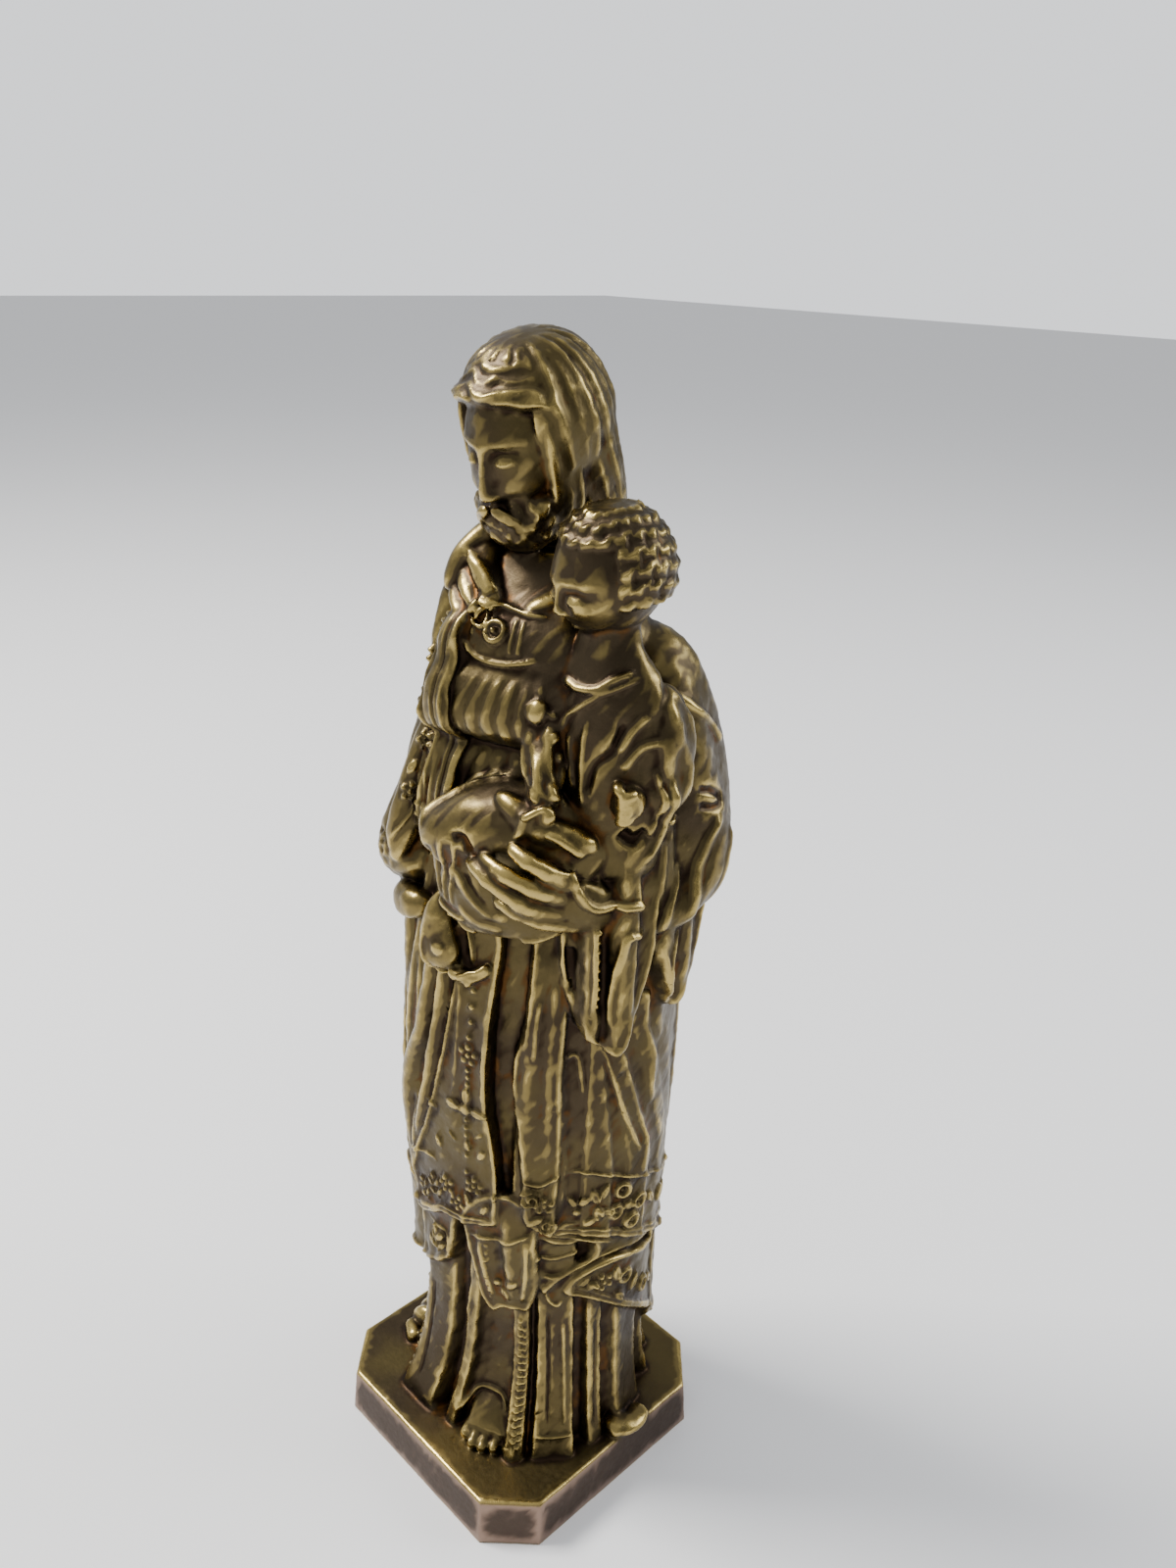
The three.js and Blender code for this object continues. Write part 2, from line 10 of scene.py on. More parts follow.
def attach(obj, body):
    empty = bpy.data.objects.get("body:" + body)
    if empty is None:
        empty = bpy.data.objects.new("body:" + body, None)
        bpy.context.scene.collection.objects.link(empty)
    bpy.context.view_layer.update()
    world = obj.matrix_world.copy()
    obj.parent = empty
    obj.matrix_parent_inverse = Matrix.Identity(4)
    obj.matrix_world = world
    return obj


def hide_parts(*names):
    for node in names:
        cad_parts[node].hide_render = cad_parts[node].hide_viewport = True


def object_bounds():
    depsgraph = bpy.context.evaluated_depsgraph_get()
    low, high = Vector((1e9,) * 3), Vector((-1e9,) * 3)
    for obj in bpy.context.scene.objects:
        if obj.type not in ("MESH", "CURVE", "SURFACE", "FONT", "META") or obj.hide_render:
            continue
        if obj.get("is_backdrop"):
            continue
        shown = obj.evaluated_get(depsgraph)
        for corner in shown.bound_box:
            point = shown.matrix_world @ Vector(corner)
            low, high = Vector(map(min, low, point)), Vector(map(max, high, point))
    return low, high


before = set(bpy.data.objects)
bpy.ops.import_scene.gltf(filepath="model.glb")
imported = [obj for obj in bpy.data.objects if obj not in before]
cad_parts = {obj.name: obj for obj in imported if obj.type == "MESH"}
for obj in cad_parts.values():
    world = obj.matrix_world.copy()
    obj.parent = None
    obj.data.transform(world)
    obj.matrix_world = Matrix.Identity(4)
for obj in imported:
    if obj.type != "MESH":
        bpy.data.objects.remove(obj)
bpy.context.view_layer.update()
print("frame loaded:", ", ".join(sorted(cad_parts)))

figure = {
    "facing": 16.0,  # degrees that the figure turns to its left on the plinth
    "voxel": 0.27,  # mm, grain at which the forms are cast into one
    "quickVoxel": 0.6,
    "triangles": 192000,  # of the finished casting
}


# Plain maths on whole arrays

# Smooth values through rows of [key, values...]: a cubic from row to row, whose slope at a row is that of the
# line between the row before it and the row after it
def through(rows, key):
    rows = np.asarray(rows, float)
    keys, values = rows[:, 0], rows[:, 1:]
    key = np.clip(np.asarray(key, float), keys[0], keys[-1])
    i = np.clip(np.searchsorted(keys, key, side="right") - 1, 0, len(keys) - 2)
    before, after = np.maximum(i - 1, 0), np.minimum(i + 2, len(keys) - 1)
    span = (keys[i + 1] - keys[i])[..., None]
    t = (key - keys[i])[..., None] / span
    slopeIn = (values[i + 1] - values[before]) / (keys[i + 1] - keys[before])[..., None] * span
    slopeOut = (values[after] - values[i]) / (keys[after] - keys[i])[..., None] * span
    return ((2 * t**3 - 3 * t**2 + 1) * values[i] + (t**3 - 2 * t**2 + t) * slopeIn
            + (3 * t**2 - 2 * t**3) * values[i + 1] + (t**3 - t**2) * slopeOut)


# Smooth rise from 0 at low to 1 at high: 3t^2 - 2t^3
def rise(x, low, high):
    t = np.clip((x - low) / (high - low), 0, 1)
    return t * t * (3 - 2 * t)


# Round hump of height 1 between -1 and 1: the square of a cosine
def hump(x):
    return np.cos(np.clip(x, -1, 1) * math.pi / 2) ** 2


# Bell of height 1: e to the minus x squared minus y squared
def bell(x, y=0.0):
    return np.exp(-(x * x + y * y))


def unit(vectors):
    return vectors / np.maximum(np.linalg.norm(vectors, axis=-1, keepdims=True), 1e-9)


# Degrees from middle to bearing, the short way round
def turnFrom(bearing, middle):
    return (bearing - middle + 540) % 360 - 180


# Points turned about Z, after a tip about X and a roll about Y, all in degrees, and moved to place
def placed(points, turn=0, tip=0, roll=0, place=(0, 0, 0)):
    matrix = (Matrix.Rotation(math.radians(turn), 3, "Z") @ Matrix.Rotation(math.radians(tip), 3, "X")
              @ Matrix.Rotation(math.radians(roll), 3, "Y"))
    return points @ np.array(matrix).T + np.array(place)


# Closed skin over rings of points: each ring joins the next with two triangles a side, and the first and the last
# ring, both drawn together to a point, close it
def skin(rings):
    rows, sides = rings.shape[0] - 2, rings.shape[1]
    points = np.vstack([rings[0].mean(0), rings[1:-1].reshape(-1, 3), rings[-1].mean(0)])
    here = 1 + np.arange(rows * sides).reshape(rows, sides)
    beside = np.roll(here, -1, axis=1)
    tail = np.full(sides, rows * sides + 1)
    faces = np.vstack([
        np.stack([here[:-1], beside[:-1], beside[1:]], -1).reshape(-1, 3),
        np.stack([here[:-1], beside[1:], here[1:]], -1).reshape(-1, 3),
        np.stack([tail * 0, beside[0], here[0]], -1),
        np.stack([tail, here[-1], beside[-1]], -1),
    ])
    a, b, c = points[faces[:, 0]], points[faces[:, 1]], points[faces[:, 2]]
    inside = np.einsum("ij,ij->", a, np.cross(b, c)) < 0
    return points, faces[:, ::-1] if inside else faces


# Limb: an oval ring carried along a smooth path through stations of [x, y, z, half height, half width]. The half
# height lies along up, made square to the path. Both ends close as quarter circles over the share cap of the path.
# relief(turn, t) lifts the surface in millimetres, with turn in degrees from up and t along the path.
def limb(stations, up=(0, 0, 1), sides=32, rows=44, cap=0.18, relief=None):
    stations = np.asarray(stations, float)
    s = np.linspace(0, 1, rows + 2)
    t = 0.4 * s + 0.6 * (1 - np.cos(math.pi * s)) / 2
    table = np.column_stack([np.linspace(0, 1, len(stations)), stations])
    at = through(table, t)
    tangent = unit(through(table, np.minimum(t + 0.01, 1))[:, :3] - through(table, np.maximum(t - 0.01, 0))[:, :3])
    up = np.asarray(up, float)
    first = unit(up - tangent * (tangent @ up)[:, None])
    second = np.cross(first, tangent)
    inward = 1 - np.minimum(1, np.minimum(t, 1 - t) / cap)
    roundness = np.sqrt(np.maximum(0, 1 - inward**2))[:, None]
    turn = np.linspace(0, 360, sides, endpoint=False)[None, :]
    lift = relief(turn, t[:, None]) * roundness if relief else 0
    along = ((at[:, 3:4] * roundness + lift) * np.cos(np.radians(turn)))[..., None] * first[:, None]
    across = ((at[:, 4:5] * roundness + lift) * np.sin(np.radians(turn)))[..., None] * second[:, None]
    return skin(at[:, None, :3] + along + across)


# Ball: an ellipsoid of the three half axes. relief(bearing, lift) raises it in millimetres from its middle, and
# push(points) moves the points further, both before it is turned and moved.
def ball(middle, axes, sides=32, rows=24, turn=0, tip=0, roll=0, relief=None, push=None):
    lift = np.linspace(-90, 90, rows + 2)[:, None]
    bearing = np.linspace(-180, 180, sides, endpoint=False)[None, :]
    level = np.cos(np.radians(lift))
    direction = np.stack([np.sin(np.radians(bearing)) * level, -np.cos(np.radians(bearing)) * level,
                          np.sin(np.radians(lift)) + 0 * bearing], -1)
    points = direction * np.asarray(axes, float)
    if relief:
        points = points + direction * relief(bearing, lift)[..., None]
    if push:
        points = push(points)
    points, faces = skin(points)
    return placed(points, turn, tip, roll, middle), faces


# Signed distance in the plane to a closed outline, positive inside: the least distance to its sides, with the sign
# from how many sides lie to one side of the point
def insideOf(outline, x, y):
    outline = np.asarray(outline, float)
    near = np.full(x.shape, 1e9)
    crossings = np.zeros(x.shape, bool)
    for (ax, ay), (bx, by) in zip(outline, np.roll(outline, -1, axis=0)):
        dx, dy = bx - ax, by - ay
        t = np.clip(((x - ax) * dx + (y - ay) * dy) / (dx * dx + dy * dy), 0, 1)
        near = np.minimum(near, (x - ax - t * dx) ** 2 + (y - ay - t * dy) ** 2)
        if dy:
            crossings ^= ((ay > y) != (by > y)) & (x < ax + dx * (y - ay) / dy)
    return np.where(crossings, 1, -1) * np.sqrt(near)


# Corners of an outline or path rounded by a smooth curve through its points
def rounded(points, steps=6, closed=True):
    points = np.asarray(points, float)
    if closed:
        points = np.vstack([points[-1], points, points[:2]])
    rows = np.column_stack([np.arange(len(points)), points])
    last = len(points) - 2 if closed else len(points) - 1
    first = 1 if closed else 0
    return through(rows, np.linspace(first, last, (last - first) * steps, endpoint=not closed))


# The robed body, as reach from an upright axis over bearing and height

robe = {
    # height, half width, half depth, middle to the left, middle to the back
    "rows": [
        (7, 21.6, 19.8, 1.2, 1.4), (12, 20.8, 19.0, 1.4, 1.4), (26, 19.4, 17.0, 1.8, 1.8),
        (45, 19.6, 16.6, 1.6, 1.8), (66, 20.8, 17.2, 1.4, 1.6), (85, 21.4, 17.2, 1.6, 1.4),
        (105, 21.2, 16.4, 2.0, 1.4), (122, 20.4, 15.0, 2.0, 1.4), (138, 18.8, 13.4, 2.0, 1.4),
        (151, 17.6, 11.6, 2.1, 1.4), (160, 15.6, 9.8, 2.1, 1.6), (165, 10.6, 7.6, 2.0, 1.8),
        (170, 6.2, 5.8, 1.6, 1.2),
    ],
    "ground": 9.2,  # top of the plinth
    "bed": 1.2,  # how deep the tunic lies between its folds
    "sides": 900,
    "levels": 560,
    # section of the tunic's skirt round the front and the left: bearing at the foot and higher up, rise at the foot
    # and higher up. The surface runs from each to the next as a smoothstep.
    "skirt": [
        (-58, -58, 0.4, 0.4), (-51, -52, 3.0, 1.8), (-43, -42, 5.2, 2.8), (-34, -33, 4.2, 2.4), (-25, -22, 3.8, 1.8),
        (-21, -18, 0.2, 0.2), (-18, -11, 0.4, 0.4), (-15, -7, 2.6, 2.0), (-10, -1, 2.9, 2.2), (-7, 3, 0.8, 0.8),
        (-1, 8, 0.1, 0.2), (12, 14, 0.2, 0.3), (18.6, 18.6, 0.6, 0.5), (20.2, 20.2, 4.5, 2.5), (23.4, 23.6, 4.9, 2.9),
        (27.6, 27.6, 4.4, 2.5), (29.4, 29.6, 1.9, 1.2), (31, 31.4, 2.0, 1.3), (33, 33, 3.9, 2.0), (41, 41, 3.7, 2.0),
        (50.5, 50.5, 4.0, 1.8), (53, 53, 0.9, 0.5), (57.5, 57.5, 0.8, 0.5), (60, 60, 2.9, 1.8), (67, 67, 2.5, 1.6),
        (69.6, 69.6, 0.6, 0.4), (74, 74, 0.7, 0.5), (77.6, 77.6, 2.6, 1.8), (88, 88, 1.9, 1.4), (97, 98, 2.1, 1.6),
        (101, 102, 0.5, 0.3),
    ],
    "backFolds": 12,  # plain folds round the back
}


# Half width, half depth and axis of the body at a height
def bodyAt(z):
    return np.moveaxis(through(robe["rows"], z), -1, 0)


# Reach of the plain body: an ellipse at each height
def plainReach(bearing, z):
    a, b, _, _ = bodyAt(z)
    angle = np.radians(bearing)
    return a * b / np.hypot(b * np.sin(angle), a * np.cos(angle))


# Rise of a folded section over the bearing, row by row. Each knot slides from its low place and rise at zLow to its
# high place and rise at zHigh.
def section(knots, bearing, z, zLow, zHigh):
    knots = np.asarray(knots, float)
    first = knots[0, 0]
    around = (bearing[0] - first) % 360 + first
    rises = np.zeros((len(z), len(around)))
    for row, height in enumerate(z[:, 0]):
        t = min(max((height - zLow) / (zHigh - zLow), 0), 1)
        place = knots[:, 0] * (1 - t) + knots[:, 1] * t
        value = knots[:, 2] * (1 - t) + knots[:, 3] * t
        i = np.clip(np.searchsorted(place, around, side="right") - 1, 0, len(place) - 2)
        s = np.clip((around - place[i]) / (place[i + 1] - place[i]), 0, 1)
        rises[row] = value[i] + (value[i + 1] - value[i]) * s * s * (3 - 2 * s)
    return rises


def skirtKnots():
    knots = list(robe["skirt"])
    count = robe["backFolds"]
    pitch = (302 - 106) / count
    for i in range(count):
        start = 106 + i * pitch
        deep = 2.6 + 0.8 * math.sin(2.3 * i)
        knots += [(start, start, 0.4, 0.3), (start + 0.42 * pitch, start + 0.36 * pitch, deep, deep * 0.55),
                  (start + 0.75 * pitch, start + 0.7 * pitch, deep * 0.7, deep * 0.5)]
    return knots + [(302, 302, 0.4, 0.4)]


# A patch of cloth: how far each point lies inside its outline of (bearing, height), in millimetres
def inPatch(outline, bearing, z, scale, steps=6):
    outline = rounded(outline, steps) if steps else np.asarray(outline, float)
    middle = outline[:, 0].mean()
    flat = float(scale.mean())
    x = turnFrom(bearing, middle) * flat + 0 * z
    return insideOf(np.column_stack([(outline[:, 0] - middle) * flat, outline[:, 1]]), x, z + 0 * x)


# A fold of cloth drawn over the body: rows of [height, bearing, rise, half width to its right, half width to its
# left], from low to high, as an arch (1 - x^2)^fullness
def drawn(bearing, z, scale, rows, fullness=0.8, fade=3.0):
    middle, lift, right, left = np.moveaxis(through(rows, z), -1, 0)
    off = turnFrom(bearing, middle) * scale
    off = off / np.where(off < 0, right, left)
    ends = rise(z, rows[0][0] - fade, rows[0][0] + fade) * (1 - rise(z, rows[-1][0] - fade, rows[-1][0] + fade))
    return lift * ends * np.clip(1 - off * off, 0, 1) ** fullness


# Layers of cloth over the tunic, from the inside out. Each has an outline of (bearing, height), its lift over the
# plain body by height, the rise of its rolled hem and the folds drawn in it.
layers = [
    dict(name="back of the mantle",
         outline=[(112, 152), (108, 112), (108, 60), (108, 30), (118, 22), (150, 26), (200, 30), (250, 33), (300, 36),
                  (312, 38), (318, 60), (318, 112), (312, 152)],
         lift=[(20, 2.2), (60, 2.0), (110, 1.8), (140, 0.8), (152, 0)], hem=0.5,
         folds=[[(20, 124 + 21 * i, 1.6, 2.6, 3.4), (60, 125 + 21 * i, 1.9, 2.6, 3.6),
                 (100, 127 + 20 * i + 3 * (i % 2), 1.5, 2.4, 3.2), (140, 132 + 18 * i, 0.9, 2.2, 2.6)]
                for i in range(9)]),
    dict(name="lower border at the left",
         outline=[(45.6, 44.4), (47.4, 47.4), (55, 49.6), (64, 50.4), (76, 50), (99, 47), (116, 46), (118, 22),
                  (112, 25), (93.4, 31.5), (70.4, 38.9), (54.5, 43)],
         lift=[(20, 2.4), (52, 2.0)], hem=0.55, folds=[]),
    dict(name="doubled hem between the borders",
         outline=[(29, 60), (30.6, 57.2), (44, 55.4), (54, 55.8), (59.6, 54), (58.6, 51.4), (52, 50.6), (44, 48.7),
                  (37, 48.8), (33, 50), (31, 47), (36, 44.6), (44, 47), (56, 50), (70, 51), (90, 49), (116, 48),
                  (116, 62), (60, 62)],
         lift=[(40, 1.5), (62, 1.8)], hem=0.45, folds=[]),
    dict(name="bordered side",
         outline=[(38, 114), (39, 93), (41, 75), (40, 66), (37, 58.8), (46, 58.4), (57.5, 57.6), (75, 54.4),
                  (98, 49.6), (116, 47), (120, 80), (120, 114)],
         lift=[(46, 2.5), (70, 2.1), (98, 1.6), (114, 1.0)], hem=0.55, folds=[], span=(72, 98), inside=0.3,
         knots=[(30, 34, 0.2, 0.2), (46, 49, 0.2, 0.2), (50.5, 51.6, 0.3, 0.4), (52.2, 52.6, 2.6, 1.9),
                (57, 54.4, 2.2, 1.8), (63.6, 56, 2.4, 1.8), (65.2, 56.8, 0.7, 0.6), (70, 58, 0.6, 0.5),
                (73, 59.6, 1.9, 1.6), (80, 62, 2.0, 1.8), (83, 63, 2.6, 2.2), (84.8, 64.2, 0.5, 0.5),
                (89, 68, 0.6, 0.5), (93, 71, 2.0, 1.6), (99, 76, 1.6, 1.4), (101, 78, 0.4, 0.4),
                (108, 86, 1.6, 1.4), (113, 94, 0.5, 0.4), (122, 106, 1.2, 1.0)]),
    dict(name="hanging end",
         outline=[(-7, 60), (-6.7, 53), (-2.4, 46), (0.6, 41.6), (8, 38.6), (15, 40.2), (22, 40.6), (28.6, 41),
                  (33, 47), (32.4, 56), (31, 64), (10, 66)],
         lift=[(38, 2.4), (60, 2.8)], hem=0.4,
         folds=[[(41, 20, 0.5, 1.0, 2.6), (50, 19, 1.2, 1.2, 3.4), (60, 18, 1.0, 1.2, 3.0)],
                [(44, 6, 0.3, 1.0, 1.6), (56, 4, 0.9, 1.2, 1.8)],
                [(44, 28, 0.4, 1.0, 1.0), (58, 28, 0.8, 1.2, 1.0)]]),
    dict(name="right side of the mantle",
         outline=[(-64, 130), (-64, 80), (-60, 56), (-44, 52), (-30, 55), (-16, 60), (-12, 80), (-10, 100),
                  (-14, 118), (-20, 130)],
         lift=[(52, 1.6), (100, 1.8), (130, 1.4)], hem=0.4,
         folds=[[(56, -54, 1.8, 2.6, 1.6), (71, -51, 2.6, 2.8, 1.8), (82, -45, 2.8, 2.6, 1.6),
                 (92, -34, 2.6, 2.4, 1.2), (112, -28, 2.0, 2.0, 1.2)],
                [(62, -46, 1.2, 1.6, 0.9), (72, -38, 2.0, 1.6, 0.9), (80, -31, 2.2, 1.5, 0.9),
                 (94, -24, 2.2, 1.4, 0.9), (112, -20, 1.8, 1.4, 0.9)],
                [(70, -58, 1.0, 1.6, 1.0), (90, -52, 1.6, 1.8, 1.0), (112, -44, 1.2, 1.6, 1.0)]]),
    dict(name="lobe under the panel",
         outline=[(-70, 56), (-45, 54), (-15, 58), (-15.6, 52.6), (-18.6, 47), (-22.4, 44), (-36, 40.4), (-50, 37.6),
                  (-70, 37)],
         lift=[(37, 2.0), (58, 2.4)], hem=0.5,
         folds=[[(40, -30, 0.6, 1.6, 1.2), (50, -28, 1.0, 1.8, 1.2)]]),
    dict(name="drape beside the groove",
         outline=[(27, 116), (23, 100), (18.4, 92), (20.6, 82), (23.4, 74), (24.8, 68), (25.6, 62.4), (31.6, 60.4),
                  (38.6, 59.2), (40.6, 66), (42, 75), (42, 84), (41, 93), (43, 116)],
         lift=[(58, 3.8), (72, 3.0), (95, 2.4), (114, 1.8)], hem=0.4,
         folds=[[(60, 28.4, 0.6, 1.4, 3.4), (76, 27, 1.0, 1.4, 3.8), (94, 27, 1.1, 1.4, 3.4), (112, 31, 0.8, 1.4, 2.4)],
                [(74, 36.6, 0.2, 1.0, 1.4), (94, 37, 0.9, 1.4, 1.6), (112, 39, 0.7, 1.4, 1.6)]]),
    dict(name="panel",
         outline=[(-16, 116), (-17, 104), (-20.6, 94), (-25, 85), (-32.5, 75), (-41, 66), (-48, 58), (-48.6, 51.4),
                  (-43, 50.7), (-30, 53.4), (-21, 55.7), (-6, 56.8), (10, 58.7), (13, 60.4), (13.2, 68.5),
                  (11, 75), (7.4, 82), (6.4, 90), (7.2, 101), (9, 116)],
         lift=[(50, 3.4), (60, 2.9), (80, 2.4), (100, 2.2), (116, 1.8)], hem=0.4, steps=3,
         folds=[[(66, 9.4, 0.3, 2.0, 0.6), (80, 5, 0.4, 1.8, 0.6), (100, 4.6, 0.4, 1.6, 0.6)]]),
    dict(name="mantle hanging from the left arm",
         outline=[(60, 132), (64, 118), (70, 114), (74.5, 109), (79, 103.6), (83, 101), (88, 102), (94, 108), (101, 120),
                  (104, 134)],
         lift=[(100, 3.0), (108, 4.4), (124, 4.6)], hem=0.5, folds=[], span=(104, 126), inside=1,
         knots=[(58, 58, 0.4, 0.4), (74, 68, 0.6, 0.4), (77, 73, 1.6, 1.4), (79, 77, 1.0, 1.6), (82, 82, 0.3, 0.5),
                (86, 88, 1.4, 1.6), (91, 94, 0.6, 0.8), (97, 100, 1.2, 1.4), (106, 106, 0.4, 0.4)]),
    dict(name="mouth of the left sleeve",
         outline=[(35, 132), (36.4, 122), (37.6, 112), (39.4, 107.6), (44.6, 101.4), (49, 99.8), (54.6, 98.2),
                  (59, 99.6), (62, 103.4), (66, 107.4), (70, 113), (72, 120), (73, 132)],
         lift=[(98, 0.6), (104, 0.8), (132, 0.0)], hem=0.5, folds=[], span=(101, 124), inside=1,
         knots=[(30, 30, 3.0, 3.0), (38, 38, 3.6, 3.6), (40.6, 39.6, 3.4, 3.0), (43.4, 43, 3.6, 3.4), (46, 46, 6.4, 7.0),
                (48.4, 48.4, 6.8, 7.6), (51, 52, 6.0, 6.4), (54.4, 57, 8.0, 8.6), (58, 61, 7.6, 8.2), (61.6, 65, 5.8, 6.2),
                (65, 69, 5.4, 6.0), (69, 73, 5.0, 5.6), (80, 80, 4.0, 4.4)]),
]

# Chest: how far the front stands out from the body, by height
chest = {
    "stand": [(126, 3.0), (134, 3.6), (140, 2.6), (143.2, 1.7), (144.6, 4.0), (147, 5.4), (151, 5.7), (154.4, 4.7),
              (155.8, 4.6), (157, 4.8), (159, 4.8), (162, 4.0), (166, 2.2), (170, 0.4)],
    "middle": 3.0,  # bearing of its middle
    "flat": 33.0,  # degrees to each side that stand out in full
    "fade": 62.0,  # degrees at which nothing of it is left
    "pleat": 1.75,  # mm from one pleat of the blouse to the next
}


# Front of the chest: the stand by height, the pleats of the blouse as |cos| arches that spread downwards, and below
# its hem the flared pleats of the waist
def chestField(bearing, z, scale):
    off = turnFrom(bearing, chest["middle"])
    window = 1 - rise(np.abs(off), chest["flat"], chest["fade"])
    stand = through(chest["stand"], z)[..., 0] * rise(z, 124, 128)
    x = off * scale
    spread = x * (1 + 0.035 * (z - 150)) + 0.5 * np.sin(z / 2.3)
    blouse = rise(z, 144, 146.5) * (1 - rise(z, 153, 155.2)) * (1 - rise(np.abs(off), 22, 27))
    pleats = 0.62 * blouse * np.abs(np.cos(spread * math.pi / chest["pleat"])) ** 0.7
    flared = rise(z, 130, 134) * (1 - rise(z, 141.6, 143.4)) * (1 - rise(np.abs(off), 20, 26))
    pleats = pleats + 0.7 * flared * np.abs(np.cos(x * (1 + 0.05 * (z - 143)) * math.pi / 2.1)) ** 0.7
    return (stand + pleats) * window


# Mantle over the right of the chest: it lies on the blouse, in narrow folds side by side
mantleFront = {
    "outline": [(-78, 126), (-16, 126), (-17, 137), (-18.6, 143), (-20.6, 150), (-23, 158), (-26, 164), (-78, 168)],
    "lift": 0.8,
    "folds": [[(126, -17.6 - 5.6 * i, 1.3, 1.0, 0.8), (138, -19 - 5.7 * i, 1.4, 1.0, 0.7),
               (150, -22 - 5.8 * i, 1.3, 1.0, 0.7), (163, -26 - 6.0 * i, 0.9, 1.0, 0.7)] for i in range(5)],
}


# Reach of the dressed body. It starts from the tunic; each layer that covers a point takes it out to its own lift
# and folds, or at least a little over what it lies on.
def dressedReach(bearing, z):
    plain = plainReach(bearing, z)
    scale = np.maximum(plain, 12) * math.pi / 180
    foot = 1 + 0.2 * (1 - rise(z, robe["ground"], 16))
    reach = plain - robe["bed"] * (1 - rise(z, 40, 70))
    reach = reach + section(skirtKnots(), bearing, z, 12, 55) * foot * (1 - rise(z, 66, 84))
    reach = reach + chestField(bearing, z, scale)
    for layer in layers:
        low, high = min(p[1] for p in layer["outline"]) - 2, max(p[1] for p in layer["outline"]) + 2
        rows = (z[:, 0] > low) & (z[:, 0] < high)
        near = inPatch(layer["outline"], bearing, z[rows], scale[rows], layer.get("steps", 5))
        own = plain[rows] + through(layer["lift"], z[rows])[..., 0]
        for fold in layer["folds"]:
            own = own + drawn(bearing, z[rows], scale[rows], fold)
        if "knots" in layer:
            own = own + section(layer["knots"], bearing, z[rows], *layer["span"]) * (
                layer["inside"] + (1 - layer["inside"]) * rise(near, 11.5, 14.5))
        own = np.maximum(own, reach[rows] + 0.35) + layer["hem"] * hump((near - 0.7) / 0.7)
        reach[rows] += rise(near, -0.15, 0.2) * (own - reach[rows])
    rows = (z[:, 0] > 124) & (z[:, 0] < 170)
    near = inPatch(mantleFront["outline"], bearing, z[rows], scale[rows], 3)
    own = reach[rows] + mantleFront["lift"]
    for fold in mantleFront["folds"]:
        own = own + drawn(bearing, z[rows], scale[rows], fold, 0.9)
    reach[rows] += rise(near, -0.15, 0.2) * (1 - rise(z[rows], 160, 168)) * (own - reach[rows])
    return reach


def robeForm():
    low, high = robe["rows"][0][0], robe["rows"][-1][0]
    even = np.linspace(-180, 180, robe["sides"], endpoint=False)
    bearing = (even - 26 * np.sin(np.radians(even)) + 22)[None, :]
    z = np.linspace(low, high, robe["levels"])[:, None]
    reach = dressedReach(bearing, z)
    _, _, left, back = bodyAt(z)
    points = np.stack([left + reach * np.sin(np.radians(bearing)), back - reach * np.cos(np.radians(bearing)),
                       z + 0 * bearing], -1)
    ends = [np.broadcast_to(points[i].mean(0), points[i].shape)[None] for i in (0, -1)]
    return skin(np.concatenate([ends[0], points, ends[1]]))


# A point on the plain body, for the forms that are set on it
def onBody(bearing, z, lift=0.0):
    _, _, left, back = bodyAt(np.array(float(z)))
    angle = math.radians(bearing)
    reach = float(plainReach(float(bearing), np.array(float(z)))) + lift
    return [left + reach * math.sin(angle), back - reach * math.cos(angle), z]


# Grooves that run along a limb, like pleats or strands: a cosine of the turn, twisting along the way
def grooved(count, depth, twist=0.0, ends=0.15):
    def relief(turn, t):
        return depth * np.cos(np.radians(turn) * count + twist * t) * rise(t, 0, ends) * (1 - rise(t, 1 - ends, 1))
    return relief


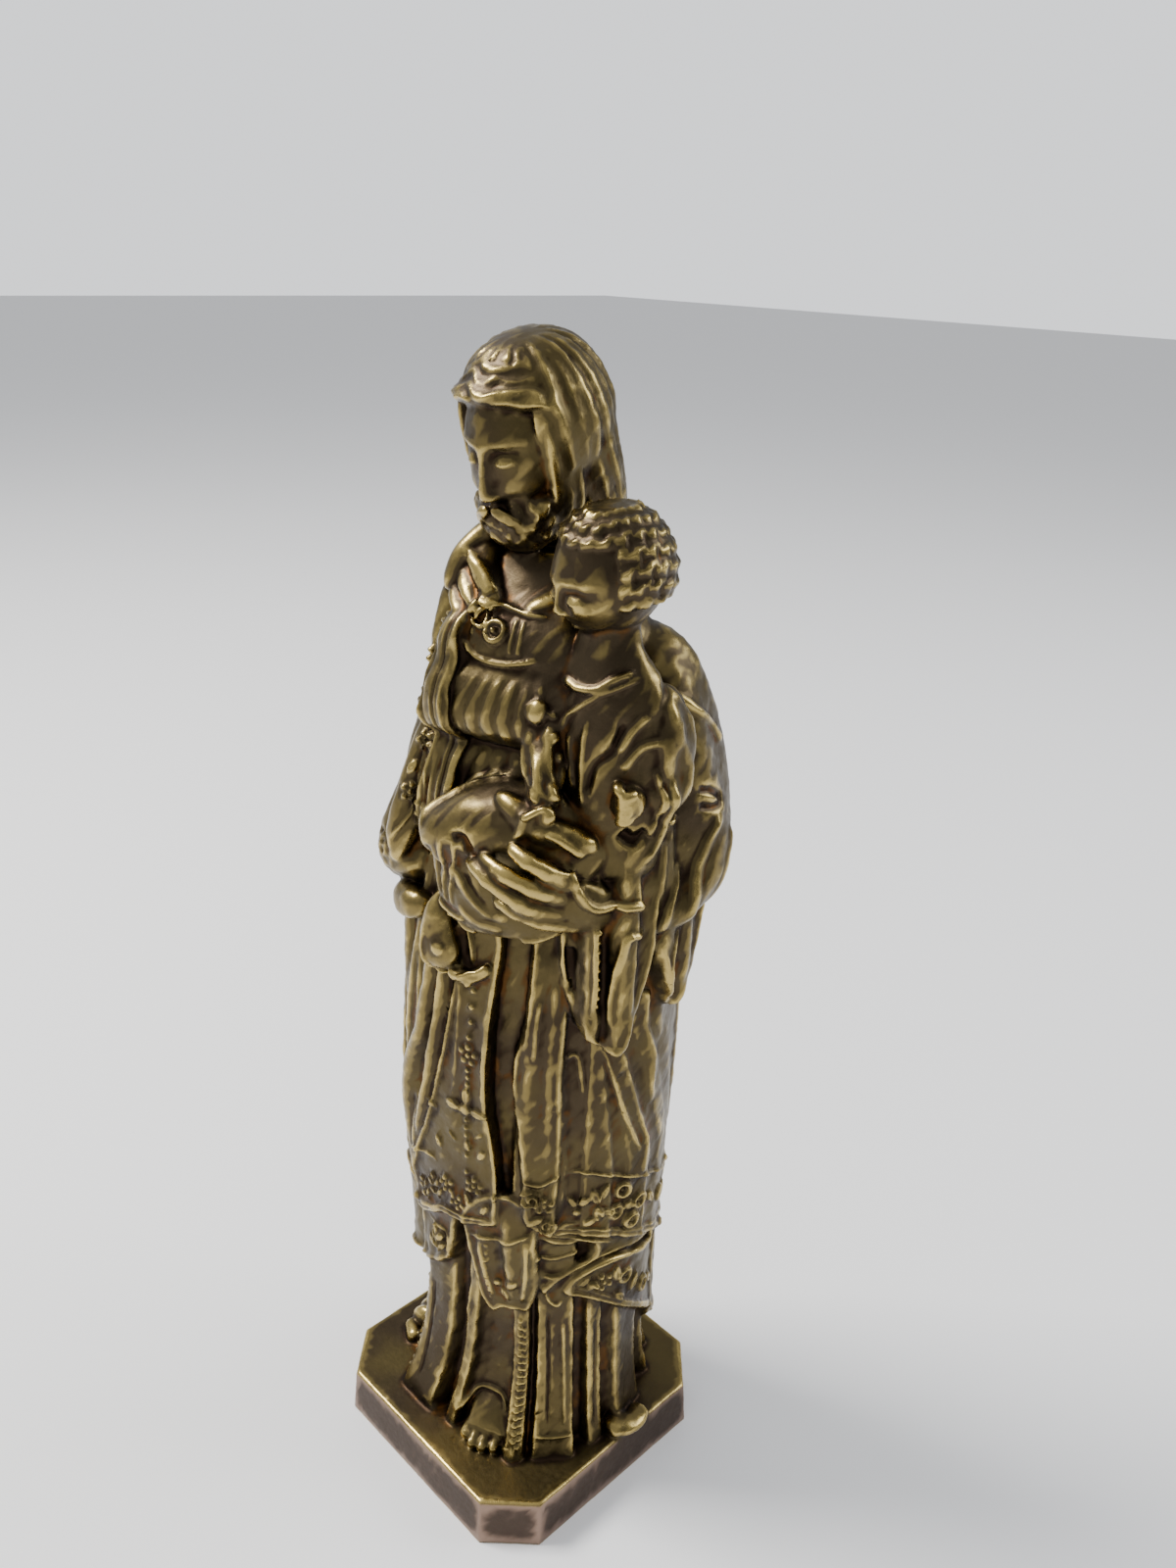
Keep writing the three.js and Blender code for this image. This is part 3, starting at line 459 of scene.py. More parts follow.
def mantleFolds():
    # bordered edge of the mantle, down the right of the chest to the sleeve
    border = [(-7, 0.5, 171, 2.0, 2.6), (-10.4, -3.6, 164, 2.2, 2.6), (-11.7, -6, 157, 1.9, 2.2),
              (-11.4, -8.6, 146, 1.9, 2.2), (-13, -11.6, 136, 2.0, 2.4), (-14.4, -13.8, 128, 2.2, 2.6),
              (-16, -14.6, 120, 2.4, 2.6)]
    forms = [limb(border, up=(0, -1, 0), rows=120, sides=48, relief=grooved(2, 0.2, 2))]
    # bunched cloth on the right shoulder, and the folds that run from both shoulders to the throat
    forms += [
        limb([(-4.4, -3.4, 173.4, 1.3, 1.6), (-8.4, -6, 169, 1.6, 2.0), (-10.6, -7.4, 163, 1.4, 1.8)], sides=24),
        limb([(-6.6, -1.6, 171, 2, 2.6), (-4.4, -7, 167.6, 1.5, 2.2), (0.4, -10.8, 162.6, 1.0, 1.6)], sides=24),
        limb([(-8.2, -3.4, 168, 1.8, 2.4), (-5.8, -8.6, 164.6, 1.3, 1.9), (-1.6, -11.6, 161.8, 0.9, 1.4)], sides=24),
        limb([(-9.4, -4.6, 165, 1.6, 2.2), (-7, -9.4, 162, 1.1, 1.7), (-3.6, -11.6, 160.4, 0.8, 1.2)], sides=24),
        limb([(9, -1, 168, 2.0, 3.0), (7.4, -6.2, 165, 1.5, 2.4), (3.6, -10.2, 161.8, 1.1, 1.7)], sides=24),
        limb([(10.4, -2.4, 165, 1.8, 2.6), (9, -7.4, 162.6, 1.3, 1.9), (5.6, -10.8, 160.4, 0.9, 1.3)], sides=24),
    ]
    # edge of the mantle that hangs behind the right sleeve
    hanging = [onBody(-58, 118, 1.2) + [2.2, 2.4], onBody(-57, 104, 1.6) + [2.0, 2.2], onBody(-55, 90, 1.0) + [1.6, 2.0]]
    forms.append(limb(hanging, up=(-0.84, -0.54, 0), rows=70, relief=grooved(2, 0.2)))
    # drop-shaped fold in front of the lap's corner, and the gathered end beside it
    forms += [
        limb([(-5.6, -16.8, 119, 1.4, 1.4), (-6.0, -17.4, 114, 1.8, 2.6), (-5.4, -17.6, 108.6, 2.0, 3.6),
              (-4.8, -17.6, 105.6, 1.4, 2.8)], up=(0, -1, 0), sides=40, cap=0.3),
        limb([(-3.6, -17.8, 105.6, 1.0, 1.2), (0.6, -17.8, 106, 1.1, 1.4), (3.6, -16.8, 108, 1.0, 1.2)], sides=24),
    ]
    return forms


def sleeveForms():
    # waves of the cloth round the arm
    def creased(turn, t):
        return (0.45 * np.cos(np.radians(turn) * 3 + 7 * t) + 0.3 * np.cos(np.radians(turn) * 5 - 11 * t)) * rise(t, 0, 0.2)

    # pierced lace at the mouth of the sleeve: small hollows in a lattice
    def lace(turn, t):
        band = rise(t, 0.74, 0.78) * (1 - rise(t, 0.9, 0.94))
        holes = np.sin(np.radians(turn) * 13) * np.sin(t * 95)
        return creased(turn, t) * (1 - band) + band * (0.4 - 0.95 * rise(holes, 0.05, 0.7)) + 0.45 * hump((t - 0.945) / 0.016)

    return [
        limb([(-8.8, 2.5, 160, 5, 5.2), (-12.4, 1.6, 148, 5.6, 5.8), (-15.2, -1.6, 133, 6.6, 6.4),
              (-15.8, -8.2, 121.5, 6.4, 6.6), (-13.4, -13.4, 117.6, 4.6, 5.4)], up=(1, 0, 0.3), sides=90, rows=150,
             relief=lace),
        limb([(-17.6, -9.6, 114, 2.4, 3.0), (-14, -13, 112.8, 2.6, 3.0), (-9.4, -14.8, 114.6, 2.4, 2.8)], sides=40, cap=0.4,
             relief=grooved(3, 0.2, 2)),
        limb([(12, 3, 159, 5, 6), (18.4, 5, 152, 6.4, 7), (22, 5.6, 140, 6.8, 8), (23.6, 4.6, 126, 7.6, 8),
              (21.4, -3, 119, 6.6, 6.6), (20, -10, 120, 4.4, 5)], up=(1, 0, 0.3), sides=90, rows=150, relief=creased),
    ]


# Saint's left hand: the back of the hand and four long fingers, with knuckles
def handForms():
    fingers = [
        [(18.2, -17.6, 126.4, 1.3, 1.5), (16.4, -21.4, 129.8, 1.35, 1.4), (14, -23.4, 132, 1.15, 1.2),
         (10.2, -22.6, 133, 0.85, 1.0)],
        [(18, -18, 124.6, 1.3, 1.5), (15, -22.2, 127.4, 1.4, 1.4), (11, -24.6, 129.6, 1.2, 1.2),
         (5.4, -23.2, 130.8, 0.85, 1.0)],
        [(18, -17.6, 122.6, 1.3, 1.5), (13.6, -22.8, 124.6, 1.4, 1.4), (8.6, -24.9, 128.2, 1.2, 1.2),
         (3.6, -23.2, 129.6, 0.85, 1.0)],
        [(19, -15.6, 119.8, 1.2, 1.4), (15.4, -20.6, 121.6, 1.25, 1.3), (11.6, -22.9, 123.2, 1.1, 1.1),
         (7.4, -22.2, 123.8, 0.8, 0.9)],
    ]
    forms = [limb([(20, -11, 120.6, 3.2, 4.2), (18.4, -15.6, 122.8, 2.8, 4.6), (16.2, -19.4, 125.4, 1.7, 3.8)],
                  up=(0.3, -1, 0), sides=40)]
    for finger in fingers:
        forms.append(limb(finger, up=(0.2, -1, 0.3), sides=24, rows=44, cap=0.14,
                          relief=lambda turn, t: 0.16 * hump((t - 0.36) / 0.1) + 0.12 * hump((t - 0.68) / 0.08)))
    return forms


# Relief of a face on its front plane, worked out from the head's half width and the heights of eyes, nose and
# mouth: each feature is a bell or a ridge over x across and z up
def faceRelief(x, z, build):
    w, eye, nose, mouth, chin = build["w"], build["eye"], build["nose"], build["mouth"], build["chin"]
    side = np.abs(x)
    eyeX = 0.42 * w
    f = -build["socket"] * bell((side - eyeX) / (0.30 * w), (z - eye - 0.1 * w) / (0.17 * w))
    f = f + 0.055 * w * bell((side - eyeX) / (0.36 * w), (z - eye - 0.30 * w) / (0.11 * w))  # brow
    f = f + build["lid"] * np.clip(1 - ((side - eyeX) / (0.19 * w)) ** 2 - ((z - eye) / (0.11 * w)) ** 2, 0, 1) ** 0.5
    f = f - 0.028 * w * bell((z - eye - 0.01 * w + 0.35 * ((side - eyeX) / w) ** 2 * w) / (0.018 * w)) * (
        np.abs(side - eyeX) < 0.19 * w)  # closed line of the lids
    f = f - 0.02 * w * bell((z - eye - 0.135 * w) / (0.025 * w)) * hump((side - eyeX) / (0.22 * w))
    length = eye + 0.2 * w - nose
    up = np.clip((z - nose) / length, -0.4, 1.2)
    height = build["noseRise"] * through([(-0.4, 0), (-0.14, 0.18), (-0.02, 0.85), (0.12, 1.0), (0.45, 0.62),
                                          (0.85, 0.34), (1.2, 0.15)], up)[..., 0]
    width = 0.105 * w * through([(-0.4, 2.4), (0, 1.9), (0.15, 1.5), (0.5, 1.05), (0.85, 1.0), (1.2, 2.2)], up)[..., 0]
    f = f + height * bell(x / width)
    f = f + 0.075 * w * bell((side - 0.15 * w) / (0.07 * w), (z - nose - 0.03 * w) / (0.07 * w))  # wings
    f = f + build["cheek"] * bell((side - 0.55 * w) / (0.27 * w), (z - nose - 0.12 * w) / (0.25 * w))
    f = f + 0.05 * w * bell(x / (0.22 * w), (z - mouth - 0.07 * w) / (0.055 * w))  # upper lip
    f = f + 0.065 * w * bell(x / (0.17 * w), (z - mouth + 0.08 * w) / (0.06 * w))  # lower lip
    f = f - 0.06 * w * bell(x / (0.24 * w), (z - mouth) / (0.03 * w))
    f = f - 0.045 * w * bell(x / (0.2 * w), (z - mouth + 0.19 * w) / (0.06 * w))
    return f + build["chinRise"] * bell(x / (0.26 * w), (z - chin - 0.12 * w) / (0.16 * w))


def faceBall(middle, axes, build, **place):
    def push(points):
        front = rise(-points[..., 1] / axes[1], 0.12, 0.5)
        moved = points.copy()
        moved[..., 1] -= front * faceRelief(points[..., 0], points[..., 2], build)
        jaw = rise(-points[..., 2] / axes[2], 0.2, 1.0)
        moved[..., 0] *= 1 - build["taper"] * jaw
        return moved
    return ball(middle, axes, sides=220, rows=200, push=push, **place)


saintHead = {
    "bow": 20.0,
    "turn": -9.0,
    "place": (0.6, -3.2, 185.2),
    "build": dict(w=7.2, eye=1.0, nose=-4.0, mouth=-6.6, chin=-11.0, socket=1.1, lid=0.95, noseRise=2.2, cheek=0.7,
                  chinRise=0.8, taper=0.22),
    "skull": ((0, 2, 2.6), (9.1, 10.9, 10.9)),
    "hairline": 30.0,  # degrees up at the middle of the forehead
    "lockPitch": 8.6,  # degrees from one row of the fringe to the next
}


# Locks of the saint's hair over bearing and lift on the skull. Over the forehead they lie in wavy rows: an arch of
# the lift, shifted by two waves of the bearing. From the temples back they hang: an arch of the bearing.
def saintHair(bearing, lift):
    side = np.abs(bearing)
    hairline = saintHead["hairline"] - 9 * (side / 55) ** 2
    window = (1 - rise(side, 50, 60)) * (1 - rise(lift - hairline, -4, 3))
    wave = 0.34 * np.sin(np.radians(bearing * 5.3 + 40)) + 0.2 * np.sin(np.radians(bearing * 9.1 + lift * 3))
    row = (lift - hairline) / saintHead["lockPitch"] + wave
    rows = np.abs(np.cos(math.pi * row)) ** 0.55 * (0.75 + 0.25 * np.sin(np.radians(bearing * 7) + 3 * np.floor(row)))
    front = (1 - rise(side, 44, 62)) * (1 - rise(lift - hairline, 24, 36))
    hanging = np.abs(np.cos(np.radians(bearing * 8.0 + 12 * np.sin(np.radians(lift * 4))))) ** 0.6
    hanging = 0.45 * hanging + 0.16 * np.cos(np.radians(bearing * 27 + 25 * np.sin(np.radians(lift * 5))))
    crown = rise(90 - lift, 6, 34)
    roll = 0.8 * hump((lift - hairline - 5) / 13) * (1 - rise(side, 52, 70))
    hair = 0.7 + front * (0.85 * rows - 0.3) + (1 - front) * hanging * crown + roll
    return hair * (1 - window) - 1.6 * window


# Strands of the long hair on its mass: broad waves and fine lines, both turning a little on the way down
def hairStrands(turn, t):
    angle = np.radians(turn)
    broad = np.abs(np.cos(7.5 * angle + 0.9 * np.sin(7 * t) + 0.4)) ** 0.7
    fine = np.cos(34 * angle + 2.6 * np.sin(8 * t + 1))
    return (0.5 * broad + 0.12 * fine) * rise(t, 0.02, 0.2)


# Curls of the beard: wavy strands, broken into short locks down the way
def beardStrands(turn, t):
    angle = np.radians(turn)
    strands = np.abs(np.cos(8 * angle + 1.5 * np.sin(11 * t))) ** 0.6
    locks = np.sin(9 * angle + 2 * np.sin(6 * t)) * np.sin(19 * t + 2 * np.cos(3 * angle))
    return (0.42 * strands + 0.34 * locks + 0.1 * np.cos(30 * angle + 6 * t)) * rise(t, 0.05, 0.25)


def saintHeadForms():
    forms = [faceBall((0, -1.5, 0.2), (7.3, 8.4, 11.4), saintHead["build"]),
             ball(*saintHead["skull"], sides=300, rows=180, relief=saintHair),
             limb([(0, 4.6, 8, 7.0, 8.4), (0, 4.8, 1, 7.4, 8.9), (0, 5.0, -7, 7.4, 8.9), (0, 5.2, -14, 6.8, 8.2),
                   (0, 5.6, -20, 5.2, 7.4), (0, 6.2, -24, 3.6, 6.4)], up=(0, 1, 0), sides=240, rows=120, cap=0.12,
                  relief=hairStrands)]
    # locks before the ears, joining hair and beard
    for side in (-1, 1):
        for k in range(2):
            forms.append(limb([(side * (6.9 + 0.5 * k), -4.4 + 1.8 * k, 8, 0.7, 1.2),
                               (side * (7.5 + 0.4 * k), -3.8 + 1.8 * k, 2, 1.0, 1.7),
                               (side * (7.2 + 0.4 * k), -3.4 + 1.8 * k, -4, 1.1, 1.8),
                               (side * (6.4 + 0.5 * k), -3.2 + 2.0 * k, -10, 0.9, 1.4)], up=(side, -0.3, 0), sides=36,
                              rows=60, relief=grooved(4, 0.14, 5)))
    # moustache, full beard and neck
    for side in (-1, 1):
        forms.append(limb([(side * 0.3, -10.9, -5.3, 0.5, 0.7), (side * 1.9, -10.5, -6.1, 0.65, 0.9),
                           (side * 3.4, -9.5, -7.7, 0.6, 0.8), (side * 4.5, -8.5, -9.8, 0.4, 0.5)], up=(0, -1, 0.2),
                          sides=32, rows=44, relief=grooved(4, 0.1, 4)))
    forms.append(limb([(0, -3.4, -4.6, 4.4, 6.9), (0, -4.9, -7.6, 4.9, 6.7), (0, -5.9, -11, 4.0, 5.4),
                       (0, -6.6, -14, 2.4, 3.4)], up=(0, -1, 0), sides=200, rows=100, cap=0.3, relief=beardStrands))
    forms.append(limb([(0, -0.5, -6, 5, 5.4), (0, 0.5, -14, 4.6, 5.2), (0, 3, -20, 5, 6)], up=(0, -1, 0), sides=40))
    return [(placed(points, saintHead["turn"], saintHead["bow"], 0, saintHead["place"]), faces)
            for points, faces in forms]


childHead = {
    "turn": -31.0,
    "tip": 6.0,
    "place": (16.9, -8.2, 170.2),
    "build": dict(w=6.9, eye=-1.9, nose=-4.1, mouth=-5.9, chin=-8.3, socket=0.75, lid=0.75, noseRise=1.5, cheek=1.0,
                  chinRise=0.7, taper=0.12),
}


# Short wavy hair of the child over bearing and lift: rows of locks like scales, each row set between those above,
# with fine strands. It covers the crown down to the forehead and comes lower behind the temples.
def childHair(bearing, lift):
    side = np.abs(bearing)
    hair = np.maximum(rise(lift, 24, 33), rise(side, 60, 70) * rise(lift, -34, -22))
    row = (lift + 4 * np.sin(np.radians(bearing * 3))) / 15
    along = row - np.floor(row)
    across = bearing / 19 + 0.5 * np.floor(row) + 0.28 * np.sin(2 * math.pi * along)
    lock = np.abs(np.cos(math.pi * across)) ** 0.7 * (0.3 + 0.7 * hump((along - 0.4) / 0.62))
    crown = rise(90 - lift, 8, 26)
    strands = 0.1 * np.cos(np.radians(bearing * 38 + 40 * np.sin(2 * math.pi * along)))
    return hair * (0.35 + crown * (0.8 * lock + strands)) - 0.9 * (1 - hair)


def childHeadForms():
    forms = [faceBall((0, -0.4, -0.2), (7.3, 7.9, 8.7), childHead["build"]),
             ball((0, 0.3, 0.3), (7.5, 8.0, 8.4), sides=300, rows=200, relief=childHair)]
    for side in (-1, 1):
        forms.append(ball((side * 7.4, 0.6, -1.9), (0.8, 1.3, 1.8), 24, 18))
    return [(placed(points, childHead["turn"], childHead["tip"], 0, childHead["place"]), faces) for points, faces in forms]


def childForms():
    # crossing waves of loose cloth
    def creased(turn, t):
        return 0.35 * np.cos(np.radians(turn) * 4 + 9 * t) + 0.2 * np.cos(np.radians(turn) * 7 - 13 * t)

    forms = [
        # lap and knees under the tunic
        limb([(18, -8, 129, 7, 7.4), (12, -14, 132.2, 7.2, 7), (5, -17.2, 132.6, 6.6, 6), (-1.6, -18.4, 130.2, 5.4, 5),
              (-5.2, -18.6, 127.4, 3.8, 3.8)], sides=80, rows=90, cap=0.14, relief=grooved(3, 0.2, 4)),
        # tunic hanging from the knees
        limb([(3, -16.8, 132, 5.2, 9.4), (4.4, -17, 125, 5.6, 10.4), (6, -16.4, 119.6, 5.4, 10.8),
              (6.4, -15.8, 116.8, 4.4, 9.8)], up=(0, -1, 0), sides=90, rows=70, cap=0.07, relief=grooved(5, 0.2, 1.5)),
        # body in its loose tunic, with the neck
        limb([(17.4, -8, 124, 6.6, 8.4), (17.4, -8.4, 138, 6.6, 9), (17.2, -8, 149, 6.4, 9), (17.2, -8, 155.6, 5.4, 7.8),
              (17.2, -8.2, 159.4, 4.2, 5.2), (17.2, -8.2, 163, 3.9, 4.0), (17, -8.2, 167, 3.8, 3.9)], up=(0, -1, 0),
             sides=90, rows=90, cap=0.06, relief=grooved(5, 0.2, 2)),
        # left arm with its loose sleeve, and its hanging mouth
        limb([(22.6, -6, 154.8, 3.2, 3.6), (24.8, -5.6, 148, 4.0, 4.4), (25.0, -6.4, 140.4, 4.2, 4.4),
              (24, -10.4, 138, 3.8, 3.8)], up=(1, 0, 0), sides=60, rows=70, relief=creased),
        limb([(24.4, -7.4, 137, 4.0, 3.2), (23.8, -9.4, 131, 3.4, 2.6), (22.6, -11.6, 127.6, 2.2, 2.0)], up=(0, -1, 0),
             sides=40, relief=grooved(3, 0.2, 1)),
        # right arm and its hand on the knees
        limb([(11, -9.4, 153.4, 2.8, 3.2), (10.6, -13.4, 147, 3.2, 3), (12.6, -17.6, 141, 2.4, 2.6),
              (14.4, -19.4, 138.4, 1.8, 2.2)], up=(1, 0, 0), sides=50, rows=60, relief=creased),
        # cloth gathered between the knees and the body
        limb([(6, -19.4, 139, 1.4, 1.6), (12.6, -20.2, 136, 1.8, 2.0), (17.4, -17.6, 134, 1.8, 2.0),
              (20.4, -15, 132, 1.2, 1.4)], up=(0, -1, 0.4), sides=30),
    ]
    # fist: a round palm with four bent fingers and the thumb
    forms.append(ball((23.6, -13.0, 139.6), (2.5, 2.3, 2.6), 30, 20))
    for k in range(4):
        forms.append(limb([(25.2 - 0.2 * k, -13.6, 141.5 - 1.15 * k, 0.7, 0.8), (24.4, -15.3, 141.1 - 1.15 * k, 0.7, 0.8),
                           (22.8, -15.1, 140.5 - 1.1 * k, 0.6, 0.7)], up=(0, -1, 0), sides=14, rows=22))
    forms.append(limb([(22.4, -13.4, 142, 0.7, 0.8), (23, -15.2, 142.2, 0.7, 0.75), (24.2, -15.8, 141.7, 0.55, 0.6)],
                      sides=14, rows=22))
    # right hand: short fingers laid over the knee
    forms.append(ball((14.2, -20.2, 138), (2.0, 1.2, 1.6), 24, 14))
    for k in range(4):
        forms.append(limb([(14.2 - 0.3 * k, -20.8, 138.7 - 0.9 * k, 0.5, 0.6), (12.8 - 0.3 * k, -21.8, 138 - 0.9 * k, 0.5, 0.6),
                           (11.6 - 0.3 * k, -22, 136.9 - 0.9 * k, 0.35, 0.45)], up=(0, -1, 0), sides=12, rows=18))
    return forms


# Bare left foot: instep and five toes with nails, and the round end of cloth beside it
def footForms():
    forms = [
        limb([(3, -11.6, 15.4, 4, 4.4), (4.6, -16.4, 12.8, 3.0, 4.6), (5.2, -19.6, 10.6, 1.9, 4.8)], sides=50, rows=40),
        limb([(-8.6, -16, 9.6, 2.4, 2.8), (-9.6, -19, 9.2, 1.8, 2.4)], sides=30, rows=20, relief=grooved(3, 0.2)),
    ]
    for toe, reach in enumerate((21.6, 22.6, 22.4, 21.6, 20.4)):
        across = 1.0 + toe * 1.95
        size = 1.2 if toe == 0 else 1.02 - 0.05 * toe
        forms.append(limb([(across + 0.3, -17.2, 12.0, 1.2, size), (across + 0.2, -reach + 1.8, 10.9, 1.05, size),
                           (across + 0.3, -reach, 10.0, 0.8, size * 0.9)], sides=20, rows=24, cap=0.2))
        forms.append(ball((across + 0.3, -reach + 0.3, 10.9), (size * 0.55, 0.5, 0.3), 12, 8, tip=-30))
    return forms


# Low forms on the plinth at the right side: a scalloped edge of cloth and a small bar
def groundForms():
    forms = [limb([(-19.6, -8.4, 10.2, 1.5, 1.5), (-23.2, -5, 10, 1.4, 1.4)], sides=24)]
    for i in range(6):
        forms.append(ball((-20.3 - 0.2 * i, -3.6 + i * 2.4, 10.4), (3.2, 1.9, 3.6 - 0.25 * i), 24, 14))
    forms.append(limb([(22, -6, 10.5, 1.8, 2.6), (25.6, -2.4, 10, 1.4, 2.2), (25.4, 2, 9.8, 1.0, 1.8)], sides=30))
    return forms


plinth = {
    "half": 26.0,  # across the flats, halved
    "cut": 7.4,
    "height": 9.2,
    "flare": 0.6,
    "edge": 0.55,  # rounding of the top edge
    "foot": 0.3,  # rounding at the underside
}


# Plinth: an eight-sided outline, four long sides and four short, carried down a profile with rounded edges. Each row
# of the profile is (inset from the outline, height).
def plinthForm():
    half, cut, height, edge, foot = (plinth[k] for k in ("half", "cut", "height", "edge", "foot"))
    corners = []
    for sx, sy in ((1, -1), (1, 1), (-1, 1), (-1, -1)):
        pair = [(sx * half, sy * (half - cut)), (sx * (half - cut), sy * half)]
        corners += pair if sx == sy else pair[::-1]
    corners = np.array(corners)
    follow = np.roll(corners, -1, axis=0)
    share = np.linspace(0, 1, 24, endpoint=False)[:, None]
    outline = np.concatenate([a + (b - a) * share for a, b in zip(corners, follow)])
    quarter = np.radians(np.linspace(0, 90, 6))
    profile = [(half, 0.0), (6, 0.0)]
    profile += [(foot * (1 - math.sin(q)), foot * (1 - math.cos(q))) for q in quarter]
    profile += [(0.0, height * s) for s in (0.25, 0.5, 0.75)]
    profile += [(edge * (1 - math.cos(q)), height - edge * (1 - math.sin(q))) for q in quarter]
    profile += [(6, height), (half, height)]
    rings = []
    for inset, z in profile:
        spread = 1 + plinth["flare"] / half * (1 - z / height)
        ring3 = np.column_stack([outline * spread * (1 - inset / half), np.full(len(outline), z)])
        rings.append(ring3)
    return skin(np.array(rings))


# One casting from all the forms

def joined(forms):
    start, points, faces = 0, [], []
    for p, f in forms:
        points.append(p)
        faces.append(f + start)
        start += len(p)
    return np.vstack(points), np.vstack(faces)


def meshOf(name, points, faces):
    mesh = bpy.data.meshes.new(name)
    mesh.vertices.add(len(points))
    mesh.vertices.foreach_set("co", points.astype(np.float32).ravel())
    mesh.loops.add(faces.size)
    mesh.loops.foreach_set("vertex_index", faces.astype(np.int32).ravel())
    mesh.polygons.add(len(faces))
    mesh.polygons.foreach_set("loop_start", np.arange(0, faces.size, faces.shape[1], dtype=np.int32))
    mesh.update(calc_edges=True)
    return mesh


# The mesh as a modifier leaves it
def finished(mesh, kind, **settings):
    holder = bpy.data.objects.new("holder", mesh)
    bpy.context.scene.collection.objects.link(holder)
    modifier = holder.modifiers.new("work", kind)
    for key, value in settings.items():
        setattr(modifier, key, value)
    depsgraph = bpy.context.evaluated_depsgraph_get()
    made = bpy.data.meshes.new_from_object(holder.evaluated_get(depsgraph))
    bpy.data.objects.remove(holder)
    return made


def pointsOf(mesh):
    co = np.empty(len(mesh.vertices) * 3, np.float32)
    mesh.vertices.foreach_get("co", co)
    return co.reshape(-1, 3).astype(float)


def edgesOf(mesh):
    ends = np.empty(len(mesh.edges) * 2, np.int32)
    mesh.edges.foreach_get("vertices", ends)
    return ends.reshape(-1, 2)


# Averages with the neighbours: each value becomes the mean of those at the other ends of its edges
def neighbourMean(values, edges, count):
    total = np.empty_like(values)
    a, b = edges[:, 0], edges[:, 1]
    for k in range(values.shape[1]):
        total[:, k] = (np.bincount(a, values[b, k], count) + np.bincount(b, values[a, k], count))
    return total / (np.bincount(a, minlength=count) + np.bincount(b, minlength=count))[:, None]


# Takes the voxel grain off: each pair of steps draws the points to their neighbours' mean and pushes them back out
def relaxed(points, edges, pairs):
    for _ in range(pairs):
        for amount in (0.5, -0.52):
            points = points + amount * (neighbourMean(points, edges, len(points)) - points)
    return points


# Fills sharp inner corners as the wax of a casting does: each round raises the points that lie below the mean of
# their neighbours, half of the way along the normal
def filled(points, normals, edges, rounds):
    for k in range(rounds):
        lack = np.einsum("ij,ij->i", neighbourMean(points, edges, len(points)) - points, normals)
        points = points + 0.5 * np.maximum(lack, 0)[:, None] * normals
    return points


def normalsOf(mesh, points):
    mesh.vertices.foreach_set("co", points.astype(np.float32).ravel())
    mesh.update()
    normals = np.empty(len(points) * 3, np.float32)
    mesh.vertices.foreach_get("normal", normals)
    return normals.reshape(-1, 3).astype(float)


# Chased work over the casting. All places are (bearing, height) round the body; a level line towards its axis finds
# the place on the surface.

